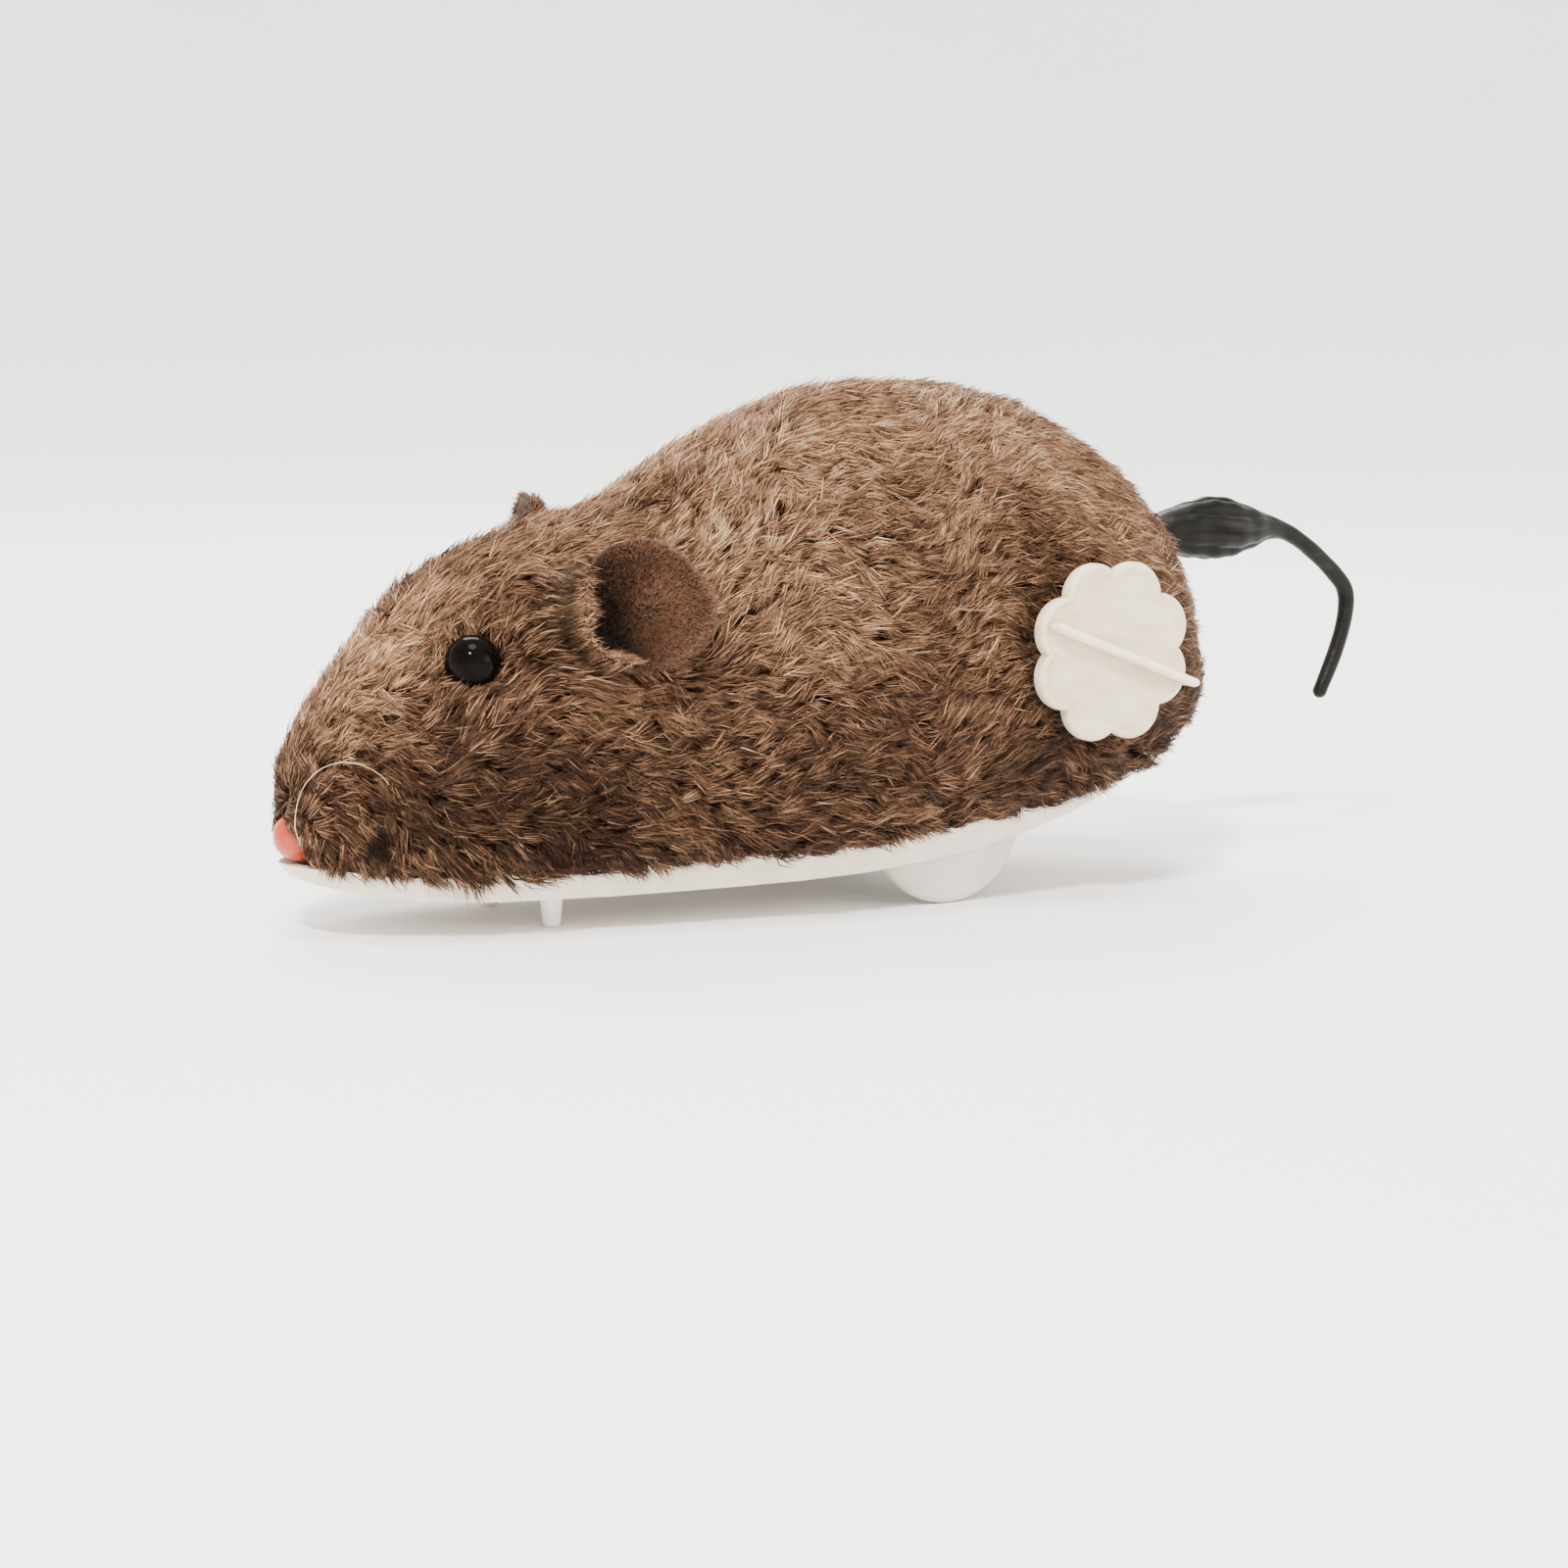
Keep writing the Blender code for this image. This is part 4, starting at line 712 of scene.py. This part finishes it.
def bead_profile(radius, back):
    """A ball's outline from a flat back to its front: radius times (cosine, sine)."""
    turns = np.linspace(math.acos(back), 0.02, 40)
    return np.column_stack([radius * np.cos(turns), radius * np.sin(turns)])


black_look, black_tree, black_shader = material("black_glass", 0.05)
paint(
    black_tree, black_shader, noise(black_tree, 500.0),
    (0.35, (0.0015, 0.0012, 0.001)), (0.75, (0.005, 0.003, 0.002)),
)
black_shader.inputs["Specular IOR Level"].default_value = 0.04

for name, sign in (("left_eye", -1.0), ("right_eye", 1.0)):
    spot = body_point(EYE_SPOT[0], sign * EYE_SPOT[1])
    looking = body_frame(np.array([EYE_SPOT[0]]), np.array([sign * EYE_SPOT[1]]))[2][0]
    rings = turned_rings(bead_profile(EYE_RADIUS, -0.85), spot - looking * EYE_SINK, looking, 64)
    points, faces = closed_rings(rings)
    new_piece(f"{name}_bead", place(points), faces, black_look, "chassis", [name])

red_look, red_tree, red_shader = material("red_glass", 0.16)
paint(
    red_tree, red_shader, noise(red_tree, 320.0, stretch=(1, 1, 0.5)),
    (0.30, linear(0.52, 0.13, 0.055)), (0.75, linear(0.72, 0.26, 0.14)),
)
red_shader.inputs["Specular IOR Level"].default_value = 0.3
red_shader.inputs["Subsurface Weight"].default_value = 0.25
red_shader.inputs["Subsurface Radius"].default_value = (1.0, 0.35, 0.25)
red_shader.inputs["Subsurface Scale"].default_value = 0.0016
red_shader.inputs["Coat Weight"].default_value = 0.25
red_shader.inputs["Coat Roughness"].default_value = 0.06
rings = turned_rings(bead_profile(NOSE_RADIUS, -0.4), NOSE_CENTRE, (-1.0, 0.0, 0.05), 64)
points, faces = closed_rings(rings)
new_piece("nose_red_bead", place(points), faces, red_look, "chassis", ["nose_bead"])


# The whiskers: one stiff nylon thread in each cheek, which springs out beside the nose and arcs
# back into the fur. Two dark thread ends curl out of the hem below the left flank.

WHISKER_ROUTES = (
    ("left", (
        (-54.6, -4.6, 10.6), (-56.0, -6.6, 13.2), (-56.2, -8.6, 16.6), (-55.2, -10.3, 19.0),
        (-53.4, -12.2, 20.2), (-51.4, -13.6, 20.0), (-49.6, -14.3, 18.9), (-48.6, -14.2, 17.8),
    )),
    ("right", (
        (-50.6, 7.4, 9.6), (-50.0, 11.0, 11.8), (-48.4, 14.2, 14.8), (-46.2, 16.8, 17.0),
        (-43.6, 18.8, 18.0), (-41.0, 20.2, 17.4), (-39.0, 20.6, 15.8),
    )),
)
WHISKER_TAPER, THREAD_TAPER = (0.045, 0.028), (0.16, 0.09)
THREAD_ENDS = (
    ((-14.6, -20.4, 9.0), (-14.9, -21.6, 8.0), (-14.2, -21.9, 7.5), (-13.5, -21.3, 7.9)),
    ((-3.0, -21.2, 9.2), (-3.6, -23.0, 8.4), (-4.8, -23.2, 7.9), (-5.8, -22.6, 8.3)),
)


def curve_through(route, steps):
    """A Catmull-Rom curve: between two route points it is the cubic whose slopes there are half
    the chords of their neighbours."""
    route = np.asarray(route, float)
    ends = np.vstack([2 * route[0] - route[1], route, 2 * route[-1] - route[-2]])
    a, b, c, d = (ends[i : len(ends) - 3 + i][:, None] for i in range(4))
    t = (np.arange(steps) / steps)[None, :, None]
    cubic = 2 * b + (c - a) * t + (2 * a - 5 * b + 4 * c - d) * t**2 + (3 * b - a - 3 * c + d) * t**3
    return np.vstack([0.5 * cubic.reshape(-1, route.shape[1]), route[-1]])


def tube_rings(path, radii, sides, side_way=(0.0, 1.0, 0.0)):
    """Rings square to a path. radii has one row a ring and one column a side, or one column."""
    tangents = np.gradient(path, axis=0)
    tangents /= np.linalg.norm(tangents, axis=1, keepdims=True)
    first = np.array(side_way) - tangents * (tangents @ np.array(side_way))[:, None]
    first /= np.linalg.norm(first, axis=1, keepdims=True)
    second = np.cross(tangents, first)
    angles = np.linspace(0, 2 * math.pi, sides + 1)[:-1][None, :, None]
    spokes = first[:, None] * np.cos(angles) + second[:, None] * np.sin(angles)
    return path[:, None] + spokes * radii[..., None]


thread_look, thread_tree, thread_shader = material("whisker_thread", 0.3)
paint(
    thread_tree, thread_shader, noise(thread_tree, 400.0),
    (0.3, linear(0.72, 0.58, 0.43)), (0.7, linear(0.88, 0.77, 0.62)),
)
dark_thread_look, dark_tree, dark_shader = material("dark_thread", 0.6)
paint(
    dark_tree, dark_shader, noise(dark_tree, 900.0),
    (0.3, linear(0.16, 0.09, 0.06)), (0.7, linear(0.28, 0.17, 0.12)),
)

for side, route in WHISKER_ROUTES:
    path = curve_through(route, 8)
    taper = np.linspace(*WHISKER_TAPER, len(path))[:, None]
    points, faces = closed_rings(tube_rings(path, taper, 10, (0.6, 0.8, 0.1)))
    new_piece(
        f"{side}_whisker_thread", place(points), faces, thread_look, "chassis",
        [f"{side}_whisker"],
    )
for number, route in enumerate(THREAD_ENDS):
    path = curve_through(route, 6)
    taper = np.linspace(*THREAD_TAPER, len(path))[:, None]
    points, faces = closed_rings(tube_rings(path, taper, 8, (0, 0, 1)))
    new_piece(f"hem_thread_{number}", place(points), faces, dark_thread_look, "chassis")


# The tail: black rubber dipped over the shaft. Its grip is a soft bulb that has drawn in along
# nine flutes, and behind it a thin solid end droops in a hook.

TAIL_MOUTH = 58.7
# Distance behind the mouth, height against the shaft's axis, radius.
TAIL_SHAPE = np.array([
    (-0.6, 0.0, 1.9), (2.5, 0.0, 2.9), (6.0, 0.0, 3.5), (9.5, 0.0, 3.6), (13.5, 0.0, 2.7),
    (17.0, -0.1, 1.5), (20.0, -0.9, 1.05), (23.5, -3.0, 1.0), (27.4, -6.2, 1.0),
    (29.2, -8.6, 1.05), (29.1, -12.0, 1.0), (27.7, -16.2, 0.95), (25.4, -21.0, 0.9),
])
TAIL_FLUTES = 9
FLUTE_DEPTH = 0.15
TAIL_SIDES = 108
# How far each closing ring lies past the tail's end, and its share of the end's radius.
TAIL_CAPS = ((0.7, 0.86), (1.3, 0.55), (1.6, 0.2))


def roughen(tree, shader, value, low, high):
    """Sets the roughness from a pattern, carried from 0..1 to low..high."""
    made = tree.nodes.new("ShaderNodeMapRange")
    made.inputs["To Min"].default_value = low
    made.inputs["To Max"].default_value = high
    tree.links.new(value, made.inputs["Value"])
    tree.links.new(made.outputs["Result"], shader.inputs["Roughness"])


rubber_look, rubber_tree, rubber_shader = material("dipped_rubber", 0.5)
paint(
    rubber_tree, rubber_shader, noise(rubber_tree, 420.0, 4.0, stretch=(0.22, 1, 1)),
    (0.36, linear(0.035, 0.032, 0.024)),
    (0.62, linear(0.07, 0.064, 0.05)),
    (0.86, linear(0.20, 0.185, 0.155)),
)
rubber_shader.inputs["Specular IOR Level"].default_value = 0.12
roughen(rubber_tree, rubber_shader, noise(rubber_tree, 700.0), 0.34, 0.5)
bump(rubber_tree, rubber_shader, noise(rubber_tree, 900.0, stretch=(0.3, 1, 1)), 0.00015)

dense = curve_through(TAIL_SHAPE, 8)
path = np.column_stack([dense[:, 0] + TAIL_MOUTH, np.zeros(len(dense)), dense[:, 1] + TAIL_HEIGHT])
angles = np.linspace(0, 2 * math.pi, TAIL_SIDES + 1)[:-1][None, :]
bulb = np.exp(-(((dense[:, :1] - 8.5) / 5.0) ** 2))
fold = np.abs(np.cos((TAIL_FLUTES * angles + 0.9 * np.sin(dense[:, :1] / 2.6)) / 2)) ** 0.55
flute = FLUTE_DEPTH * (1.7 * fold - 1.3) + 0.05 * np.cos(3 * angles + dense[:, :1] / 6)
radii = dense[:, 2:] * (1 + bulb * flute) * (1 + 0.02 * np.sin(dense[:, :1] * 1.9))
tip_way = (path[-1] - path[-2]) / np.linalg.norm(path[-1] - path[-2])
rings = tube_rings(path, radii, TAIL_SIDES)
end_ring = rings[-1] - path[-1]
caps = [path[-1] + tip_way * 0.45 * reach + end_ring * share for reach, share in TAIL_CAPS]
points, faces = closed_rings(np.concatenate([rings, caps]))
new_piece("tail_rubber_sleeve", place(points), faces, rubber_look, "tail_group", ["tail"])


# The winding knob: a white moulding, a scalloped disc with a raised bead round its edge, a hub
# behind it and a thin cream fin across its face to turn it by.

KNOB_RADIUS = 10.3
KNOB_FACE = -29.6
FIN_TURN = math.radians(21)
FIN_ENDS = (-9.3, 11.2)
FIN_HALF_WIDTH = 0.5
KNOB_LOBES = 8
# Distance behind the face, radius, and how far the radius follows the scallops.
KNOB_PROFILE = np.array([
    (0.0, 0.4, 0.0), (0.0, 3.0, 0.2), (0.0, 6.0, 0.7), (0.0, 8.2, 1.0), (-0.02, 8.9, 1.0),
    (-0.16, 9.2, 1.0), (-0.30, 9.5, 1.0), (-0.36, 9.75, 1.0), (-0.30, 10.0, 1.0),
    (-0.12, 10.2, 1.0), (0.15, 10.3, 1.0), (0.9, 10.3, 1.0), (1.3, 10.2, 1.0),
    (1.5, 10.0, 1.0), (1.6, 9.7, 1.0), (1.6, 6.0, 0.6), (1.6, 3.0, 0.0), (1.7, 2.7, 0.0),
    (1.9, 2.6, 0.0), (4.7, 2.6, 0.0), (4.9, 2.5, 0.0), (5.0, 2.3, 0.0), (5.0, 0.4, 0.0),
])

knob_look, knob_tree, knob_shader = material("knob_moulding", 0.4)
paint(
    knob_tree, knob_shader, noise(knob_tree, 190.0, 5.0, stretch=(1, 1, 2.2)),
    (0.3, linear(0.75, 0.685, 0.575)), (0.7, linear(0.86, 0.80, 0.69)),
)
roughen(knob_tree, knob_shader, noise(knob_tree, 500.0), 0.32, 0.5)
knob_shader.inputs["Subsurface Weight"].default_value = 0.15
knob_shader.inputs["Subsurface Radius"].default_value = (1.0, 0.9, 0.8)
knob_shader.inputs["Subsurface Scale"].default_value = 0.0012
bump(knob_tree, knob_shader, noise(knob_tree, 350.0, 5.0), 0.00006)

angles = np.linspace(0, 2 * math.pi, 321)[:-1]
off = angles % (2 * math.pi / KNOB_LOBES) - math.pi / KNOB_LOBES
lobe_centre, lobe_radius = KNOB_RADIUS * 0.64, KNOB_RADIUS * 0.36
scallop = lobe_centre * np.cos(off) + np.sqrt(lobe_radius**2 - (lobe_centre * np.sin(off)) ** 2)
scallop = scallop[None, :] / KNOB_RADIUS
radii = KNOB_PROFILE[:, 1:2] * (1 + KNOB_PROFILE[:, 2:] * (scallop - 1))
rings = np.stack([
    ARBOR_PLACE[0] + radii * np.cos(angles), KNOB_FACE + KNOB_PROFILE[:, :1] + 0 * radii,
    ARBOR_PLACE[1] + radii * np.sin(angles),
], axis=-1)
points, faces = closed_rings(rings)
new_piece(
    "knob_disc", place(points), faces, knob_look, "winding_group",
    ["winding_knob"], sharp=50,
)

fin_look, fin_tree, fin_shader = material("fin_moulding", 0.38)
paint(
    fin_tree, fin_shader, noise(fin_tree, 300.0),
    (0.3, linear(0.87, 0.81, 0.70)), (0.7, linear(0.95, 0.90, 0.80)),
)
middle_x = (FIN_ENDS[0] + FIN_ENDS[1]) / 2
straight = (FIN_ENDS[1] - FIN_ENDS[0]) / 2 - FIN_HALF_WIDTH
# Height above the face and inset of the fin's outline from its full half width.
FIN_PROFILE = np.array([(-0.5, 0.0), (1.4, 0.0), (1.75, 0.04), (1.98, 0.13), (2.13, 0.26), (2.2, 0.42)])
angles = np.linspace(0, 2 * math.pi, 65)[:-1][None, :]
half_width = FIN_HALF_WIDTH - FIN_PROFILE[:, 1:]
along_fin = middle_x + np.sign(np.cos(angles)) * straight + half_width * np.cos(angles)
across_fin = half_width * np.sin(angles)
rings = np.stack([
    ARBOR_PLACE[0] + along_fin * math.cos(FIN_TURN) + across_fin * math.sin(FIN_TURN),
    KNOB_FACE - FIN_PROFILE[:, :1] + 0 * along_fin,
    ARBOR_PLACE[1] - along_fin * math.sin(FIN_TURN) + across_fin * math.cos(FIN_TURN),
], axis=-1)
points, faces = closed_rings(rings)
new_piece("knob_fin", place(points), faces, fin_look, "winding_group", ["winding_knob"])


# The drive wheels and the glide pegs: white mouldings under the body, the wheels on the axle and
# the pegs pushed into the tray below the chest.

DRIVE_PLACE = np.array([18.3, 0.0, 9.5])
# Distance out from the middle of the axle, and radius.
WHEEL_PROFILE = np.array([
    (17.8, 0.3), (17.78, 2.5), (17.72, 4.5), (17.6, 6.6), (17.45, 8.0), (17.25, 8.8), (17.0, 9.25),
    (16.6, 9.47), (16.2, 9.5), (15.6, 9.5), (15.35, 9.4), (15.2, 9.15), (15.2, 7.8), (15.3, 7.5),
    (16.1, 7.2), (16.2, 7.0), (16.2, 3.2), (16.1, 3.0), (14.9, 2.8), (14.8, 2.6), (14.8, 1.4),
])
GLIDE_PLACE = (-27.0, 7.8)
# Height above the floor, and radius.
GLIDE_PROFILE = np.array([
    (0.0, 0.55), (0.06, 0.78), (0.25, 0.93), (0.6, 1.0), (3.2, 1.28), (3.6, 1.3),
    (3.62, 0.86), (5.6, 0.85),
])

wheel_look, wheel_tree, wheel_shader = material("wheel_moulding", 0.36)
paint(
    wheel_tree, wheel_shader, noise(wheel_tree, 160.0),
    (0.3, linear(0.76, 0.71, 0.665)), (0.7, linear(0.85, 0.805, 0.76)),
)
roughen(wheel_tree, wheel_shader, noise(wheel_tree, 420.0), 0.3, 0.46)
for side, sign in (("left", -1.0), ("right", 1.0)):
    points, faces = closed_rings(turned_rings(WHEEL_PROFILE, DRIVE_PLACE, (0, sign, 0), 128))
    new_piece(
        f"wheel_{side}_moulding", place(points), faces, wheel_look, "drive_axle_group",
        [f"drive_wheel_{side}"], sharp=40,
    )

nylon_look, nylon_tree, nylon_shader = material("glide_nylon", 0.3)
paint(
    nylon_tree, nylon_shader, noise(nylon_tree, 350.0),
    (0.3, linear(0.90, 0.86, 0.81)), (0.7, linear(0.97, 0.945, 0.91)),
)
nylon_shader.inputs["Subsurface Weight"].default_value = 0.5
nylon_shader.inputs["Subsurface Radius"].default_value = (1.0, 0.92, 0.85)
nylon_shader.inputs["Subsurface Scale"].default_value = 0.002
for side, sign in (("left", -1), ("right", 1)):
    foot = (GLIDE_PLACE[0], sign * GLIDE_PLACE[1], 0.0)
    points, faces = closed_rings(turned_rings(GLIDE_PROFILE, foot, (0, 0, 1), 48))
    new_piece(
        f"glide_{side}_peg", place(points), faces, nylon_look, "chassis",
        [f"glide_{side}"], sharp=45,
    )


# Plain looks for every piece that the frame shows as it is: the tray, and all that lies inside.
# Each slot has a tone with a faint mottle, and a roughness that follows it.

# Slot, tone, roughness, metal.
SLOT_TONES = {
    "shell_plastic": ((0.68, 0.66, 0.61), 0.5, 0.0),
    "white_plastic": (linear(0.86, 0.80, 0.735), 0.42, 0.0),
    "wheel_plastic": (linear(0.93, 0.905, 0.875), 0.4, 0.0),
    "nylon": (linear(0.93, 0.90, 0.85), 0.35, 0.0),
    "ear_felt": (linear(0.40, 0.29, 0.22), 0.95, 0.0),
    "black_bead": ((0.006, 0.005, 0.005), 0.06, 0.0),
    "red_bead": (linear(0.80, 0.34, 0.25), 0.15, 0.0),
    "whisker_nylon": (linear(0.85, 0.76, 0.64), 0.3, 0.0),
    "tail_rubber": (linear(0.19, 0.18, 0.155), 0.5, 0.0),
    "steel": ((0.55, 0.55, 0.55), 0.3, 1.0),
    "spring_steel": ((0.30, 0.32, 0.38), 0.28, 1.0),
    "brass": ((0.72, 0.52, 0.24), 0.3, 1.0),
    "gear_plastic": ((0.74, 0.72, 0.62), 0.4, 0.0),
    "brown_plush": (linear(0.45, 0.32, 0.23), 0.9, 0.0),
}
slot_of = {part["node"]: part["material_slot"] for part in frame["record"]["subparts"]}
looks = {}
for slot, (tone_colour, roughness, metallic) in SLOT_TONES.items():
    look, tree, shader = material(slot, roughness)
    pattern = noise(tree, 260.0)
    paler = tuple(min(1.0, c * 1.08) for c in tone_colour)
    darker = tuple(c * 0.9 for c in tone_colour)
    paint(tree, shader, pattern, (0.3, darker), (0.7, paler))
    roughen(tree, shader, pattern, roughness * 0.85, min(1.0, roughness * 1.2))
    shader.inputs["Metallic"].default_value = metallic
    looks[slot] = look
for node, shown in frame["nodes"].items():
    shown.data.materials.clear()
    shown.data.materials.append(looks[slot_of[node]])


# The tail's bush shows between the fur and the rubber, where the tail seems to come straight out
# of the fur, so it is nearly black like the rubber.

bush_look, bush_tree, bush_shader = material("bush_moulding", 0.6)
paint(
    bush_tree, bush_shader, noise(bush_tree, 500.0),
    (0.3, linear(0.06, 0.05, 0.035)), (0.7, linear(0.12, 0.10, 0.075)),
)
bush_shader.inputs["Specular IOR Level"].default_value = 0.1
frame["nodes"]["tail_bush"].data.materials[0] = bush_look
